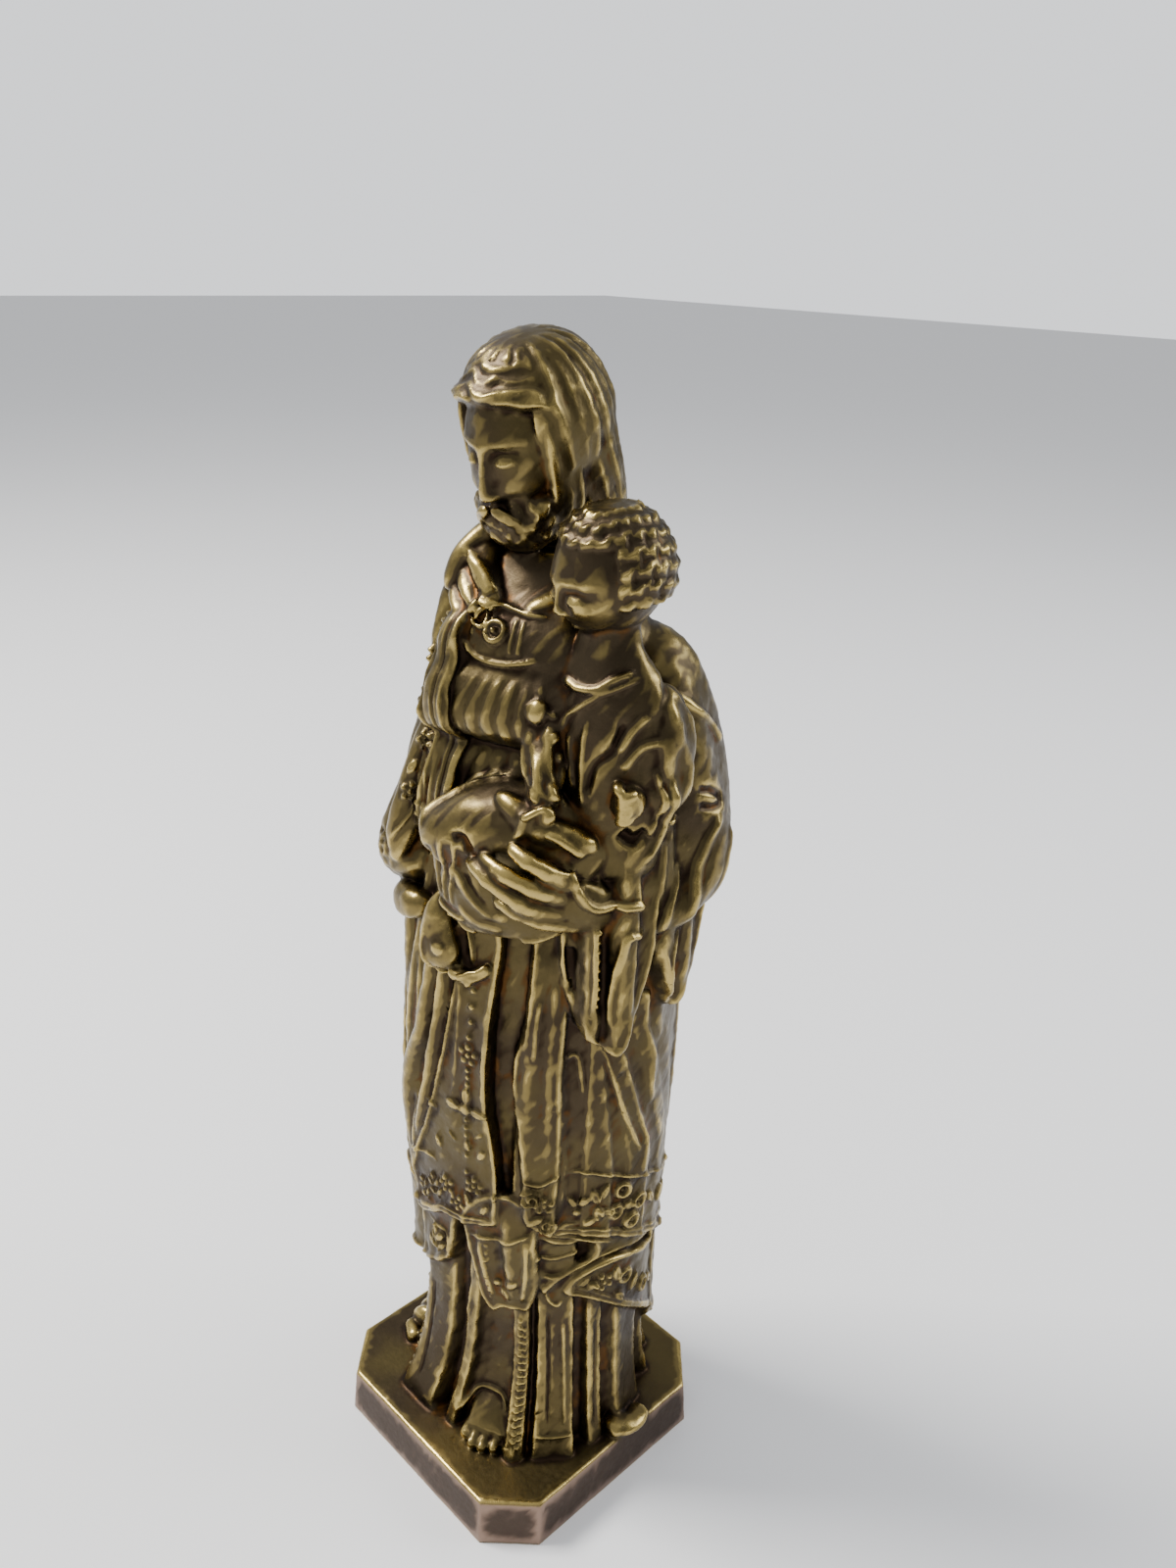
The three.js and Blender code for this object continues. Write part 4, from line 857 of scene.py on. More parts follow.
# ridges, or grooves where the lift is negative: half width, lift, path
strokes = [
    # collar folds and yoke
    (1.2, 0.6, [(-46, 169), (-26, 167.4), (-12, 164.6)]),
    (0.55, 0.5, [(-24, 164.4), (-10, 163.4), (0, 163), (14, 162.6), (29, 162.4)]),
    (0.6, 0.55, [(-23, 158), (-14, 156.2), (0, 155.8), (12, 156.2), (24, 157.2)]),
    (0.5, 0.3, [(8, 162), (7.4, 157)]),
    (0.5, 0.3, [(13, 162), (12.6, 157)]),
    (0.6, 0.4, [(-17, 164), (-19, 161), (-18, 158.6)]),
    # edge of the mantle over the chest
    (0.55, 0.5, [(-26, 163), (-23, 157), (-20.6, 150), (-18.6, 143), (-17, 135)]),
    (0.5, -0.4, [(-30, 162), (-28, 154), (-26, 146), (-24, 138), (-23, 130)]),
    # bordered edge
    (0.5, 0.5, [(-56, 157), (-53, 151), (-47, 146), (-44, 140), (-42, 134), (-42, 128), (-47, 123)]),
    (0.5, 0.4, [(-40, 160), (-38, 151), (-35, 141), (-33, 131), (-36, 122)]),
    # collar and tunic of the child
    (0.8, 0.7, [(36, 154.4), (38, 155), (42, 154.6), (47, 155.1), (52, 156.5), (60, 157.6)]),
    (0.6, 0.5, [(61, 157), (50, 155), (45, 153.4), (38, 150.4), (35, 148.4)]),
    (0.9, -0.6, [(55, 151.4), (51.6, 147), (46, 144.3), (44, 140)]),
    (0.8, 0.45, [(39, 148.3), (39, 144.4), (40, 140.1)]),
    (0.8, 0.5, [(30, 142.5), (33, 140.6), (38, 137.6)]),
    (0.7, 0.4, [(44.6, 151), (43, 147), (42.6, 142), (43, 138)]),
    (0.9, 0.5, [(62, 152), (57.6, 150), (53, 146.6)]),
    (0.9, 0.5, [(66, 148), (60, 147.4), (54, 144)]),
    (0.9, 0.6, [(68, 143), (69.4, 138), (67, 133), (61, 129.6)]),
    (0.7, 0.5, [(64, 144.6), (66, 140), (64.6, 135.6), (59, 132.4)]),
    (1.4, -1.1, [(54.6, 135), (58, 133.6), (63, 134.8)]),
    (0.9, 0.6, [(30, 135.3), (33, 135.2), (38, 133.6), (43, 131.6)]),
    (0.6, 0.4, [(23, 137.4), (27, 138.6), (31, 139.4)]),
    # mantle over the left arm
    (1.0, 0.6, [(84, 152), (92, 149), (100, 146.4), (108, 142)]),
    (0.9, -0.6, [(88, 137.6), (93, 137), (99, 135)]),
    (0.9, -0.5, [(88, 135.2), (93, 134.4), (99, 134.4)]),
    (1.3, 0.6, [(97, 133), (91, 129.4), (86, 124), (82, 117)]),
    (1.1, 0.5, [(104, 130), (98, 123), (92, 115)]),
    # lap: the rolled upper edge, the hanging end and its folds, the hem
    (1.2, 0.8, [(-19, 131), (-18, 134), (-11, 136.6), (-4, 138.2), (6, 139.3), (17, 139.8)]),
    (1.1, -0.8, [(-2, 132), (2, 132.6), (5, 130.4)]),
    (0.55, 0.5, [(-6.6, 131.2), (-8.6, 125.5), (-10.6, 119.1)]),
    (0.55, 0.45, [(-0.8, 131.6), (-4, 125.4), (-6.6, 119.4)]),
    (1.0, -0.7, [(-13, 130), (-14.4, 125), (-15.4, 120)]),
    (0.6, 0.6, [(-8, 118), (-3, 116.6), (1, 115.9), (11, 116), (19, 116.4), (26, 117.1), (34, 117.8)]),
    (1.3, 0.45, [(-5, 127.6), (2, 124), (10, 121.4), (20, 120.4)]),
    (1.2, 0.4, [(-3, 120.6), (6, 118.6), (16, 118.4)]),
    (1.0, -0.4, [(1, 127), (6, 123.4), (14, 120.6)]),
    # knot and drop-shaped fold
    (0.8, 0.7, [(-17, 119.4), (-12, 118.4), (-6, 118.2), (1, 118.6)]),
    (0.7, 0.6, [(-13, 117.6), (-10, 115.6), (-6, 114.6)]),
    (0.6, 0.6, [(-14, 115), (-9.4, 112.6), (-6.6, 110), (-6, 107.4)]),
    (0.6, 0.6, [(-10, 105.6), (-4, 106.8), (0, 107.4), (4, 108.6)]),
    (0.5, 0.4, [(-24, 113), (-26, 109), (-22, 105.4), (-14, 104.6)]),
    # left sleeve: the cord round its mouth, its lit edges and folds
    (0.95, 0.85, [(35, 131), (38, 129.6), (41, 126.6), (44, 124.6), (48, 123.6), (54, 123.4), (61, 123), (65, 122.6)]),
    (1.1, -1.0, [(41, 115), (40.6, 111), (41.4, 107)]),
    (0.5, 0.5, [(48, 120), (48, 114.5), (48, 110), (47.2, 105)]),
    (0.9, 0.6, [(60, 119.9), (57, 117.8), (54.6, 114), (53, 108), (53, 102.9)]),
    (0.6, 0.5, [(57, 118.6), (61, 118.2), (65, 118)]),
    (0.9, -0.6, [(51, 119), (51, 112), (50.6, 105)]),
    (0.9, 0.6, [(81, 127), (79, 123.6), (75, 120), (72, 116.4)]),
    (0.55, 0.5, [(83, 116), (79, 112), (77.4, 108), (80.6, 103.4)]),
    # panel: line inside its edge, and the strip beside its foot
    (0.45, 0.35, [(-15, 102), (-18.4, 93), (-23, 84.6), (-30, 75), (-38, 66.4), (-45, 58.6)]),
    (0.45, 0.35, [(6, 101), (4.8, 90), (6, 82), (9.4, 75), (11.6, 68), (11.4, 61)]),
    (0.5, 0.4, [(-51, 62.5), (-40, 65.3), (-30.2, 66.6), (-24.6, 66.3)]),
    (0.45, 0.4, [(-44, 52.4), (-30, 55), (-21, 57.4), (-6, 58.4), (10, 60.2)]),
    # lobe under the panel
    (0.45, 0.4, [(-40, 50), (-22.3, 50.7), (-21.3, 45.8)]),
    # drape and bands
    (0.5, 0.45, [(24.9, 71.1), (31.3, 70.3), (37, 71.1), (41, 72)]),
    (0.5, 0.45, [(43, 71.6), (53.8, 72), (67.5, 69.5), (83.3, 66.6), (100, 63), (114, 61)]),
    (0.45, 0.35, [(38, 60.4), (46, 60), (58, 59.4), (75, 56.2), (98, 51.6), (114, 49)]),
    (0.45, 0.35, [(48, 45.6), (56, 45), (70, 41), (93, 33.4), (112, 27)]),
    (0.6, 0.4, [(28.2, 93.9), (28.8, 100.9), (30.1, 104.8)]),
    (0.6, 0.4, [(41.1, 94.1), (47.2, 94.3), (50.3, 87.2)]),
    (0.6, 0.4, [(56.6, 96.7), (62.7, 89.5), (68.6, 81.8), (78, 72.6)]),
    # doubled hem
    (0.5, 0.4, [(33, 58.8), (46, 57.6), (58, 56), (70, 53.6)]),
    (0.5, 0.35, [(35, 46), (38, 42.6), (42.6, 41.3), (45.5, 42.7)]),
    (0.6, 0.4, [(31, 53), (38, 52), (46, 52.6), (54, 53.4)]),
    # hanging end
    (0.5, 0.4, [(-5, 54.6), (6, 55.6), (18, 56.6), (30, 59)]),
    (0.7, 0.4, [(2, 54), (5, 48), (9, 42)]),
    (0.5, 0.4, [(27, 56), (26.4, 49), (24.6, 43)]),
    # skirt
    (0.5, 0.35, [(34, 13.4), (42, 13.2), (50.5, 13.6)]),
    (0.5, -0.4, [(38, 40), (38.4, 28), (39, 15)]),
    (0.6, 0.4, [(45.6, 38), (46.4, 26), (47, 15)]),
    (0.5, -0.35, [(-38, 36), (-38, 24), (-37, 13)]),
    (0.5, -0.3, [(64, 36), (64, 24), (64, 12)]),
    (0.5, 0.35, [(-9, 40), (-13, 30), (-15, 20)]),
    (0.8, 0.6, [(-10.5, 12), (-6, 15.4), (-1.8, 17.4), (6.8, 18), (14, 17.4), (18.6, 14.6)]),
]


# ornaments: kind, bearing, height, size, lift, turn
ornaments = [
    ("ring", -3, 160, 2.1, 0.8, 0), ("bead", -3, 160, 0.8, 0.6, 0), ("scroll", -16, 161.6, 2.2, 0.8, 0),
    ("bead", 25, 150.6, 1.8, 0.9, 0), ("bead", 33, 147.6, 0.8, 0.6, 0), ("bead", 34.6, 144.9, 0.8, 0.6, 0),
    ("bead", 32, 150.2, 0.7, 0.5, 0), ("bead", -12, 107, 1.0, 0.5, 0), ("bead", -17.6, 110, 1.1, 0.5, 0),
    ("rosette", -50, 158.4, 2.1, 0.9, 10), ("rosette", -50, 152.6, 2.0, 0.9, 50), ("rosette", -45, 140.6, 1.9, 0.8, 20),
    ("rosette", -43, 132.6, 1.9, 0.8, 60), ("leaf", -47, 147, 1.6, 0.6, 30), ("leaf", -45, 136.4, 1.5, 0.6, -30),
    # panel
    ("rosette", -4.9, 91.3, 2.3, 0.7, 0), ("leaf", -12.8, 80.6, 1.9, 0.7, 80), ("leaf", -5.1, 83.4, 1.9, 0.7, 0),
    ("leaf", 2.0, 81.0, 1.9, 0.7, -80), ("bead", -5.4, 80.6, 1.2, 0.7, 0), ("bud", -4.1, 73.7, 1.2, 0.6, 0),
    ("rosette", -16.9, 63.2, 2.1, 0.7, 20), ("rosette", 0.5, 66.0, 2.1, 0.7, 0), ("rosette", -10.4, 60.6, 2.0, 0.6, 45),
    ("sprig", -26, 60.4, 2.6, 0.6, 25), ("sprig", -36, 57.4, 2.4, 0.6, 40), ("leaf", 6.4, 62, 1.5, 0.6, -30),
    ("leaf", -3.4, 62.6, 1.5, 0.6, 30), ("leaf", -23, 71, 1.4, 0.5, 30), ("leaf", 4.6, 73, 1.4, 0.5, -30),
    ("bar", -13.6, 74, 1.2, 0.4, 60), ("bar", 2.4, 76.4, 1.1, 0.4, -50), ("leaf", -27.6, 78, 1.3, 0.4, 50),
    # lobe under the panel
    ("sprig", -29, 47.6, 2.8, 0.7, 10), ("leaf", -37, 45, 1.5, 0.6, 60),
    # border at the foot of the drape
    ("scroll", 29, 67.4, 1.9, 0.7, 20), ("rosette", 34.6, 66.2, 2.0, 0.7, 0), ("leaf", 31, 63, 1.7, 0.6, 120),
    ("scroll", 36, 62, 1.5, 0.6, 200),
    # upper border at the left
    ("leaf", 47.6, 65.6, 1.5, 0.6, 30), ("bead", 49.8, 63.4, 0.9, 0.6, 0), ("leaf", 52, 66, 1.6, 0.6, -40),
    ("leaf", 56.6, 66.8, 1.9, 0.7, 20), ("leaf", 60.4, 67.2, 1.9, 0.7, -30), ("leaf", 58.6, 63, 1.9, 0.7, 10),
    ("leaf", 61.6, 63, 1.7, 0.6, 70), ("leaf", 55.4, 61.6, 1.6, 0.6, -60), ("ring", 70.4, 66, 1.9, 0.7, 0),
    ("ring", 67.4, 61.8, 1.9, 0.7, 0), ("ring", 79, 62.2, 1.9, 0.7, 0), ("ring", 75.6, 58.6, 1.9, 0.7, 0),
    ("bead", 73.4, 62.4, 1.1, 0.7, 0), ("leaf", 89, 60, 2.0, 0.7, 30), ("ring", 98, 58, 1.8, 0.6, 0),
    ("leaf", 106, 56, 2.0, 0.6, -30),
    # lower border at the left
    ("leaf", 55, 46.8, 1.6, 0.6, -50), ("bead", 59.4, 45.6, 1.0, 0.6, 0), ("rosette", 65, 45.6, 2.2, 0.7, 20),
    ("leaf", 72, 46.2, 2.0, 0.7, 0), ("ring", 77.4, 44.6, 1.9, 0.7, 0), ("leaf", 74.4, 40.6, 1.9, 0.7, 40),
    ("leaf", 84, 41.4, 2.0, 0.7, -30), ("ring", 92.4, 38.4, 1.9, 0.7, 0), ("leaf", 102, 36.6, 2.0, 0.7, 30),
    # hanging end
    ("leaf", 16, 44, 1.6, 0.5, 30), ("leaf", 20, 47, 1.5, 0.5, -40), ("bead", 12, 46, 0.9, 0.5, 0),
]

# rows of beads: half width of a bead, lift, distance from one to the next, path
beadRows = [
    (0.62, 0.5, 2.0, [(-4.4, 105), (-4.3, 98), (-5, 94.6)]),
    (0.55, 0.5, 1.9, [(-4.7, 88.4), (-4.8, 85.6)]),
    (0.5, 0.45, 2.0, [(-5, 78.6), (-4.6, 75.6)]),
    (0.5, 0.45, 1.9, [(-4.2, 71.6), (-4.2, 64.6)]),
    (0.5, 0.4, 1.6, [(-43, 154), (-40, 146), (-38, 138), (-37, 130)]),
    (0.42, 0.4, 1.3, [(49.4, 119), (49.6, 113), (49, 107)]),
    (0.5, 0.35, 1.4, [(23.6, 38), (23.8, 26), (23.4, 13)]),
    (0.45, 0.3, 1.3, [(25.8, 36), (26, 24), (25.6, 12)]),
    (0.4, 0.3, 1.5, [(-46, 34), (-46, 24), (-45, 13)]),
    (0.4, 0.25, 1.5, [(6.4, 54), (6, 48), (7.4, 42)]),
]


# Shapes of the ornaments over (x, y), which run from -1 to 1 across and along

def bead(x, y):
    return np.sqrt(np.clip(1 - x * x - y * y, 0, 1))


def ringShape(x, y):
    r = np.hypot(x, y)
    return np.clip(1 - ((r - 0.66) / 0.3) ** 2, 0, 1) + 0.8 * bead(x / 0.22, y / 0.22)


# Five petals round a centre: each a dome at 0.6 from the middle
def rosetteShape(x, y):
    height = 0.9 * bead(x / 0.26, y / 0.26)
    for k in range(5):
        a = k * 2 * math.pi / 5
        px, py = x - 0.6 * math.sin(a), y - 0.6 * math.cos(a)
        height = np.maximum(height, bead(px / 0.36, py / 0.36) * (0.7 + 0.3 * np.cos(8 * np.hypot(px, py))))
    return height


# Pointed leaf with a vein: half width 0.5(1 - y^2), a dome across, less a line in the middle
def leafShape(x, y):
    half = 0.5 * np.clip(1 - y * y, 0.001, 1)
    return np.sqrt(np.clip(1 - (x / half) ** 2, 0, 1)) * np.clip(1 - np.abs(y) ** 4, 0, 1) - 0.35 * bell(x / 0.1) * (
        np.abs(y) < 0.7)


def budShape(x, y):
    return np.maximum(leafShape(x, y), bead((x - 0.45) / 0.3, (y + 0.5) / 0.3))


# Stem with two pairs of leaves and one at the tip
def sprigShape(x, y):
    height = 0.6 * np.clip(1 - (x / 0.09) ** 2, 0, 1) * (np.abs(y) < 0.9)
    for px, py, turn in ((0.42, -0.3, -50), (-0.42, -0.3, 50), (0.38, 0.35, -45), (-0.38, 0.35, 45), (0, 0.8, 0)):
        a = math.radians(turn)
        u, v = x - px, y - py
        height = np.maximum(height, leafShape((u * math.cos(a) + v * math.sin(a)) / 0.46,
                                              (v * math.cos(a) - u * math.sin(a)) / 0.46))
    return height


# Spiral of one and a half turns: a ridge where the radius fits the bearing
def scrollShape(x, y):
    r, a = np.hypot(x, y), np.arctan2(x, y) / (2 * math.pi) + 0.5
    gap = np.minimum(np.abs(r - 0.5 * a - 0.12), np.abs(r - 0.5 * a - 0.62))
    return np.clip(1 - (gap / 0.17) ** 2, 0, 1) * (r < 0.98)


def barShape(x, y):
    return np.clip(1 - (x / 0.3) ** 2, 0, 1) * np.clip(1 - y**4, 0, 1)


shapes = {"bead": bead, "ring": ringShape, "rosette": rosetteShape, "leaf": leafShape, "bud": budShape,
          "sprig": sprigShape, "scroll": scrollShape, "bar": barShape}


# Where level lines towards the body's axis first meet the casting
def met(holder, path):
    found, facings = [], []
    for bearing, z in path:
        _, _, left, back = bodyAt(np.array(float(z)))
        angle = math.radians(bearing)
        way = placed(np.array([math.sin(angle), -math.cos(angle), 0.0]), figure["facing"])
        start = placed(np.array([left, back, z]), figure["facing"]) + way * 60
        hit, place, facing, _ = holder.ray_cast(Vector(start), Vector(-way))
        if hit:
            found.append(place)
            facings.append(facing)
    return np.array(found), np.array(facings)


# How much the chased work lifts each point of the casting along its normal
def chased(holder, points, normals):
    amount = np.zeros(len(points))
    order = np.argsort(points[:, 2])
    heights = points[order, 2]

    # points near a place, facing the same way
    def nearby(low, high, reach):
        a, b = np.searchsorted(heights, (low[2] - reach, high[2] + reach))
        some = order[a:b]
        inside = np.all((points[some] > low - reach) & (points[some] < high + reach), axis=1)
        return some[inside]

    def spineOf(path, step):
        count = max(2, int(len(path) * 10))
        spine, facing = met(holder, rounded(path, count // len(path), closed=False))
        jump = np.linalg.norm(np.diff(spine, axis=0), axis=1)
        along = np.concatenate([[0], np.cumsum(np.minimum(jump, 3))])
        at = np.linspace(0, along[-1], max(3, int(along[-1] / step)))
        return (np.column_stack([np.interp(at, along, spine[:, k]) for k in range(3)]),
                unit(np.column_stack([np.interp(at, along, facing[:, k]) for k in range(3)])))

    for width, lift, path in strokes:
        spine, facing = spineOf(path, 0.22)
        some = nearby(spine.min(0), spine.max(0), width)
        apart = points[some][:, None, :] - spine[None]
        deep = np.einsum("ijk,jk->ij", apart, facing)
        flat = np.sqrt(np.maximum((apart**2).sum(-1) - deep**2, 0)) + 10 * (np.abs(deep) > 2.0)
        best = flat.argmin(1)
        u = flat.min(1) / width
        t = best / (len(spine) - 1)
        ends = rise(t, -0.02, 0.14) * (1 - rise(t, 0.86, 1.02))
        same = rise(np.einsum("ij,ij->i", normals[some], facing[best]), -0.1, 0.4)
        amount[some] += lift * ends * same * np.clip(1 - u * u, 0, 1) ** 1.4

    def stamp(place, facing, size, lift, turn, shape):
        some = nearby(place, place, size)
        if not len(some):
            return
        up = unit(np.array([0, 0, 1.0]) - facing * facing[2])
        side = np.cross(up, facing)
        a = math.radians(turn)
        apart = points[some] - place
        x = (apart @ side * math.cos(a) + apart @ up * math.sin(a)) / size
        y = (apart @ up * math.cos(a) - apart @ side * math.sin(a)) / size
        same = rise(normals[some] @ facing, 0.0, 0.4) * (np.hypot(x, y) < 1.05)
        amount[some] += lift * same * shape(x, y)

    for kind, bearing, z, size, lift, turn in ornaments:
        place, facing = met(holder, [(bearing, z)])
        stamp(place[0], facing[0], size, lift, turn, shapes[kind])
    for width, lift, pitch, path in beadRows:
        spine, facing = spineOf(path, pitch)
        for place, outward in zip(spine, facing):
            stamp(place, outward, width, lift, 0, bead)
    return amount


# Hand-made unevenness: a sum of slow waves in three directions, in millimetres
def unevenness(points):
    total = np.zeros(len(points))
    for k, (pitch, lift) in enumerate(((9.0, 0.05), (5.3, 0.04), (3.1, 0.035), (1.9, 0.025))):
        way = unit(np.array([math.sin(2.1 * k + 1), math.cos(1.7 * k), math.sin(3.3 * k + 0.6)]))
        cross = unit(np.cross(way, [0.3, 0.5, 0.8]))
        total += lift * np.sin(points @ way * 2 * math.pi / pitch + 1.6 * np.sin(points @ cross * 2 * math.pi / (1.4 * pitch)))
    return total


print("shaping the forms")
figureForms = [robeForm()]
figureForms += mantleFolds() + sleeveForms() + handForms() + childForms()
figureForms += saintHeadForms() + childHeadForms() + footForms() + groundForms()
points, faces = joined(figureForms)
points = placed(points, figure["facing"])
points, faces = joined([(points, faces), plinthForm()])
print("forms:", len(figureForms) + 1, "with", len(faces), "faces")

voxel = figure["voxel"]
cast = finished(meshOf("cast", points, faces), "REMESH", mode="VOXEL", voxel_size=voxel, use_smooth_shade=True)
edges = edgesOf(cast)
points = relaxed(pointsOf(cast), edges, 2)
for _ in range(3):
    points = filled(points, normalsOf(cast, points), edges, 4)
normals = normalsOf(cast, points)
for _ in range(3):
    normals = unit(normals + neighbourMean(normals, edges, len(points)))
print("cast in one:", len(cast.polygons), "faces")

holder = bpy.data.objects.new("chasing", cast)
bpy.context.scene.collection.objects.link(holder)
bpy.context.view_layer.update()
onFigure = rise(points[:, 2], plinth["height"] + 0.1, plinth["height"] + 0.6)
amount = chased(holder, points, normals) * onFigure + unevenness(points) * (0.35 + 0.65 * onFigure)
bpy.data.objects.remove(holder)
points = points + amount[:, None] * normals
low = points[:, 2] < 0.6
points[low, 2] = np.where(points[low, 2] < 0.35, 0.0, points[low, 2])
normals = normalsOf(cast, points)
print("chased")


# Wear, and painted shade in the hollows. Each scale compares a point with the mean of its surroundings along the
# normal: a point that stands out is rubbed, one that lies in keeps its dark patina and gets painted shade. The sum is
# ranked, so that a value is the share of the casting that lies deeper.
def standOut(points, normals, edges, steps):
    smoothPoints = points
    found = []
    for step in range(max(steps) + 1):
        if step in steps:
            out = np.einsum("ij,ij->i", points - smoothPoints, normals)
            found.append(np.clip(out / np.percentile(np.abs(out), 88), -1.5, 1.5))
        smoothPoints = 0.5 * smoothPoints + 0.5 * neighbourMean(smoothPoints, edges, len(points))
    return found


# high values are rubbed wear on what stands out; low values are dark patina plus painted shade in what lies in
fine, middle, broad = standOut(points, normals, edges, [6, 30, 130])
wearAndShade = 0.5 * fine + 0.7 * middle + 0.55 * broad
wearAndShade = neighbourMean(wearAndShade[:, None], edges, len(points))[:, 0]
above = points[:, 2] > plinth["height"] + 0.3
wearAndShade = np.searchsorted(np.sort(wearAndShade[above]), wearAndShade) / above.sum()
plinthSide = rise(plinth["height"] - points[:, 2], 0.2, 0.5) * rise(np.hypot(points[:, 0], points[:, 1]), 20, 22)
plinthSide = plinthSide * (1 - rise(np.abs(normals[:, 2]), 0.5, 0.8))


def keep(mesh, name, values):
    layer = mesh.attributes.new(name, "FLOAT", "POINT")
    layer.data.foreach_set("value", values.astype(np.float32))


# kept on the casting: rubbed wear on the ridges, dark patina and painted shade in the hollows and recesses
keep(cast, "wearAndShade", wearAndShade)
keep(cast, "plinthSide", plinthSide)
ratio = min(1.0, figure["triangles"] / (2 * len(cast.polygons)))
cast = finished(cast, "DECIMATE", ratio=ratio)
print("thinned to", len(cast.polygons), "faces with", ", ".join(a.name for a in cast.attributes))
cast.transform(Matrix.Scale(0.001, 4))
cast.polygons.foreach_set("use_smooth", np.ones(len(cast.polygons), bool))
cast.name = "saintCasting"
saint = bpy.data.objects.new("saintCasting", cast)
bpy.context.scene.collection.objects.link(saint)


# Materials

def linear(code):
    values = [int(code[i:i + 2], 16) / 255 for i in (1, 3, 5)]
    return tuple(v / 12.92 if v <= 0.04045 else ((v + 0.055) / 1.055) ** 2.4 for v in values) + (1.0,)


# Adds a node, sets its properties and sockets, and links what is given as an output
def node(tree, kind, settings=None, **sockets):
    made = tree.nodes.new("ShaderNode" + kind)
    for key, value in (settings or {}).items():
        setattr(made, key, value)
    for key, value in sockets.items():
        name = key.replace("_", " ")
        socket = made.inputs[int(key[1:])] if key[0] == "i" and key[1:].isdigit() else made.inputs[name]
        if isinstance(value, bpy.types.NodeSocket):
            tree.links.new(value, socket)
        else:
            socket.default_value = value
    return made


def blended(tree, share, first, second):
    made = node(tree, "Mix", dict(data_type="RGBA"), i0=share)
    for index, value in ((6, first), (7, second)):
        if isinstance(value, bpy.types.NodeSocket):
            tree.links.new(value, made.inputs[index])
        else:
            made.inputs[index].default_value = value
    return made.outputs[2]


def ranged(tree, value, low, high, toLow=0.0, toHigh=1.0):
    return node(tree, "MapRange", dict(interpolation_type="SMOOTHSTEP"), Value=value, From_Min=low, From_Max=high,
                To_Min=toLow, To_Max=toHigh).outputs[0]


# Cast brass with an old brown patina: rubbed to pale gold on the folds, olive brown on the broad faces and nearly
# black in the hollows, partly dark patina and partly painted shade, with a soft gloss like old lacquer
brass = {
    "gold": "#b09a5c",
    "rubbed": "#75663f",
    "olive": "#554a2f",
    "brown": "#42382a",
    # dark patina of the hollows, which also serves as painted shade in the recesses
    "hollowPatinaAndShade": "#2a2018",
    "ochre": "#5a3c1a",
    "copper": "#4c4038",
    "copperWorn": "#8a7466",
    "blotchMm": 9.0,
    "grainMm": 0.9,
}


def patinatedBrass():
    material = bpy.data.materials.new("patinatedBrass")
    material.use_nodes = True
    tree = material.node_tree
    shader = tree.nodes["Principled BSDF"]
    place = node(tree, "TexCoord").outputs["Object"]
    # rank of how far a point stands out: high is rubbed wear, low is dark patina with painted shade
    wearShade = node(tree, "Attribute", dict(attribute_name="wearAndShade")).outputs["Fac"]
    side = node(tree, "Attribute", dict(attribute_name="plinthSide")).outputs["Fac"]
    blotch = node(tree, "TexNoise", Vector=place, Scale=1000 / brass["blotchMm"], Detail=4.0, Roughness=0.6)
    grain = node(tree, "TexNoise", Vector=place, Scale=1000 / brass["grainMm"], Detail=3.0, Roughness=0.6)
    patches = node(tree, "TexNoise", Vector=place, Scale=1000 / 22, Detail=3.0, Roughness=0.5)
    uneven = node(tree, "Math", dict(operation="MULTIPLY_ADD"), i0=blotch.outputs["Fac"], i1=0.7, i2=-0.35).outputs[0]
    rubbing = node(tree, "Math", dict(operation="ADD"), i0=wearShade, i1=uneven).outputs[0]
    base = blended(tree, ranged(tree, patches.outputs["Fac"], 0.4, 0.6), linear(brass["brown"]), linear(brass["olive"]))
    colour = blended(tree, ranged(tree, rubbing, 0.55, 0.8), base, linear(brass["rubbed"]))
    colour = blended(tree, ranged(tree, rubbing, 0.84, 1.0), colour, linear(brass["gold"]))
    # nearly black on the lowest-lying points: dark patina in the hollows and painted shade in the recesses
    colour = blended(tree, ranged(tree, wearShade, 0.28, 0.04), colour, linear(brass["hollowPatinaAndShade"]))
    orange = node(tree, "Math", dict(operation="MULTIPLY"), i0=ranged(tree, wearShade, 0.3, 0.1, 0.0, 0.6),
                  i1=ranged(tree, blotch.outputs["Fac"], 0.52, 0.62)).outputs[0]
    colour = blended(tree, orange, colour, linear(brass["ochre"]))
    sideColour = blended(tree, ranged(tree, rubbing, 0.45, 0.95), linear(brass["copper"]), linear(brass["copperWorn"]))
    colour = blended(tree, side, colour, sideColour)
    tree.links.new(colour, shader.inputs["Base Color"])
    shader.inputs["Metallic"].default_value = 1.0
    gloss = node(tree, "Math", dict(operation="MULTIPLY_ADD"), i0=grain.outputs["Fac"], i1=0.22,
                 i2=ranged(tree, rubbing, 0.5, 1.0, 0.3, 0.16)).outputs[0]
    gloss = node(tree, "Math", dict(operation="MULTIPLY_ADD"), i0=side, i1=0.12, i2=gloss).outputs[0]
    tree.links.new(gloss, shader.inputs["Roughness"])
    bump = node(tree, "Bump", Strength=0.35, Distance=0.00012, Height=grain.outputs["Fac"])
    tree.links.new(bump.outputs[0], shader.inputs["Normal"])
    return material


saint.data.materials.clear()
saint.data.materials.append(patinatedBrass())
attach(saint, "root")
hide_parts("saint_figure")
print("casting finished")


# Stage: a pale floor, soft lights and the camera

stage = {
    "floor": 4.0,
    "floorColour": "#f3f3f4",
    "world": "#e9ebee",
    "worldStrength": 1.0,
    "seen": 1.55,  # strength of the room as the camera sees it
    "shade": 0.28,  # share of that light which comes from the side away from the key
}


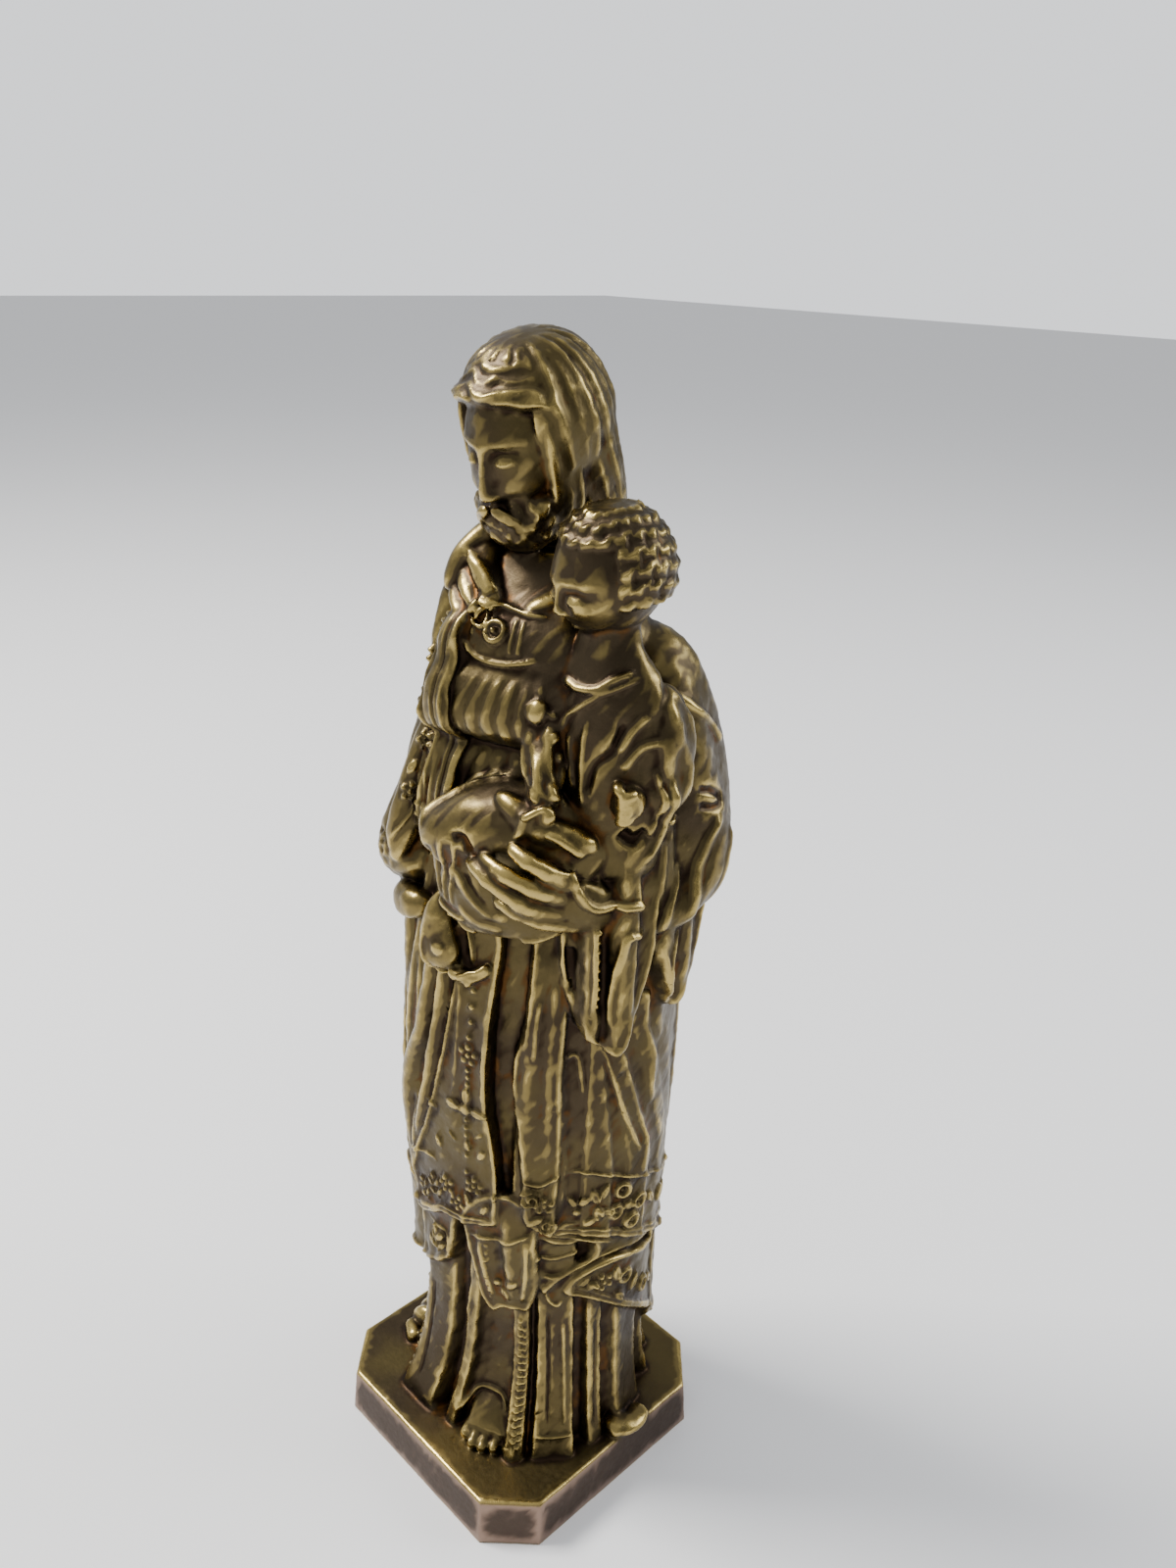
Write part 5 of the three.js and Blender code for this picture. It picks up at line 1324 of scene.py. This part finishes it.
def paleFloor():
    half = stage["floor"]
    mesh = meshOf("paleFloor", np.array([(-half, -half, 0), (half, -half, 0), (half, half, 0), (-half, half, 0)]),
                  np.array([(0, 1, 2, 3)]))
    floor = bpy.data.objects.new("paleFloor", mesh)
    bpy.context.scene.collection.objects.link(floor)
    material = bpy.data.materials.new("palePaper")
    material.use_nodes = True
    shader = material.node_tree.nodes["Principled BSDF"]
    shader.inputs["Base Color"].default_value = linear(stage["floorColour"])
    shader.inputs["Roughness"].default_value = 0.7
    mesh.materials.append(material)
    floor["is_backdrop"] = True


# Pale room, brighter from above and from the left of the view, as beside a window
def paleRoom():
    world = bpy.data.worlds.new("paleRoom")
    bpy.context.scene.world = world
    world.use_nodes = True
    tree = world.node_tree
    direction = node(tree, "TexCoord").outputs["Generated"]
    facing = node(tree, "VectorMath", dict(operation="DOT_PRODUCT"), i0=direction, i1=(-0.62, -0.38, 0.68))
    bright = ranged(tree, facing.outputs["Value"], -0.75, 0.95, stage["shade"], 1.0)
    bright = node(tree, "Math", dict(operation="MULTIPLY"), i0=bright, i1=stage["worldStrength"]).outputs[0]
    seen = node(tree, "LightPath").outputs["Is Camera Ray"]
    strength = node(tree, "Mix", dict(data_type="FLOAT"), i0=seen, i2=bright, i3=stage["seen"]).outputs[0]
    background = tree.nodes["Background"]
    background.inputs["Color"].default_value = linear(stage["world"])
    tree.links.new(strength, background.inputs["Strength"])


def softLight(name, place, target, size, power, colour):
    lamp = bpy.data.lights.new(name, "AREA")
    lamp.shape = "RECTANGLE"
    lamp.size, lamp.size_y = size
    lamp.energy = power
    lamp.color = colour
    holder = bpy.data.objects.new(name, lamp)
    holder.location = place
    holder.rotation_euler = (Vector(target) - Vector(place)).to_track_quat("-Z", "Y").to_euler()
    bpy.context.scene.collection.objects.link(holder)


def photoCamera():
    across = np.array([math.sqrt(0.5), math.sqrt(0.5), 0.0])
    into = np.array([-math.sqrt(0.5), math.sqrt(0.5), 0.0])
    upright = np.array([0.0, 0.0, 1.0])
    pitch, roll = math.radians(23.4), math.radians(2.2)
    away = 181.0  # mm from the object's axis, level
    height = 210.5
    aside = 8.7
    up = math.sin(pitch) * into + math.cos(pitch) * upright
    forward = math.cos(pitch) * into - math.sin(pitch) * upright
    right = across * math.cos(roll) + up * math.sin(roll)
    top = up * math.cos(roll) - across * math.sin(roll)
    place = (aside * across - away * into + height * upright) * 0.001
    camera = bpy.data.objects.new("camera", bpy.data.cameras.new("camera"))
    camera.matrix_world = Matrix([list(row) + [p] for row, p in zip(np.column_stack([right, top, -forward]), place)]
                                 + [[0, 0, 0, 1]])
    camera.data.lens = 36 * 1277 / 1600
    camera.data.sensor_width = 36
    camera.data.clip_start = 0.01
    bpy.context.scene.collection.objects.link(camera)
    bpy.context.scene.camera = camera


paleFloor()
softLight("key", (-0.45, -0.30, 0.80), (0, 0, 0.12), (0.30, 0.30), 12.0, (1.0, 0.98, 0.94))
softLight("rim", (0.45, 0.60, 0.50), (0, 0, 0.12), (0.5, 0.5), 4.0, (0.95, 0.97, 1.0))
paleRoom()
photoCamera()

low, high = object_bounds()
print("stage set")
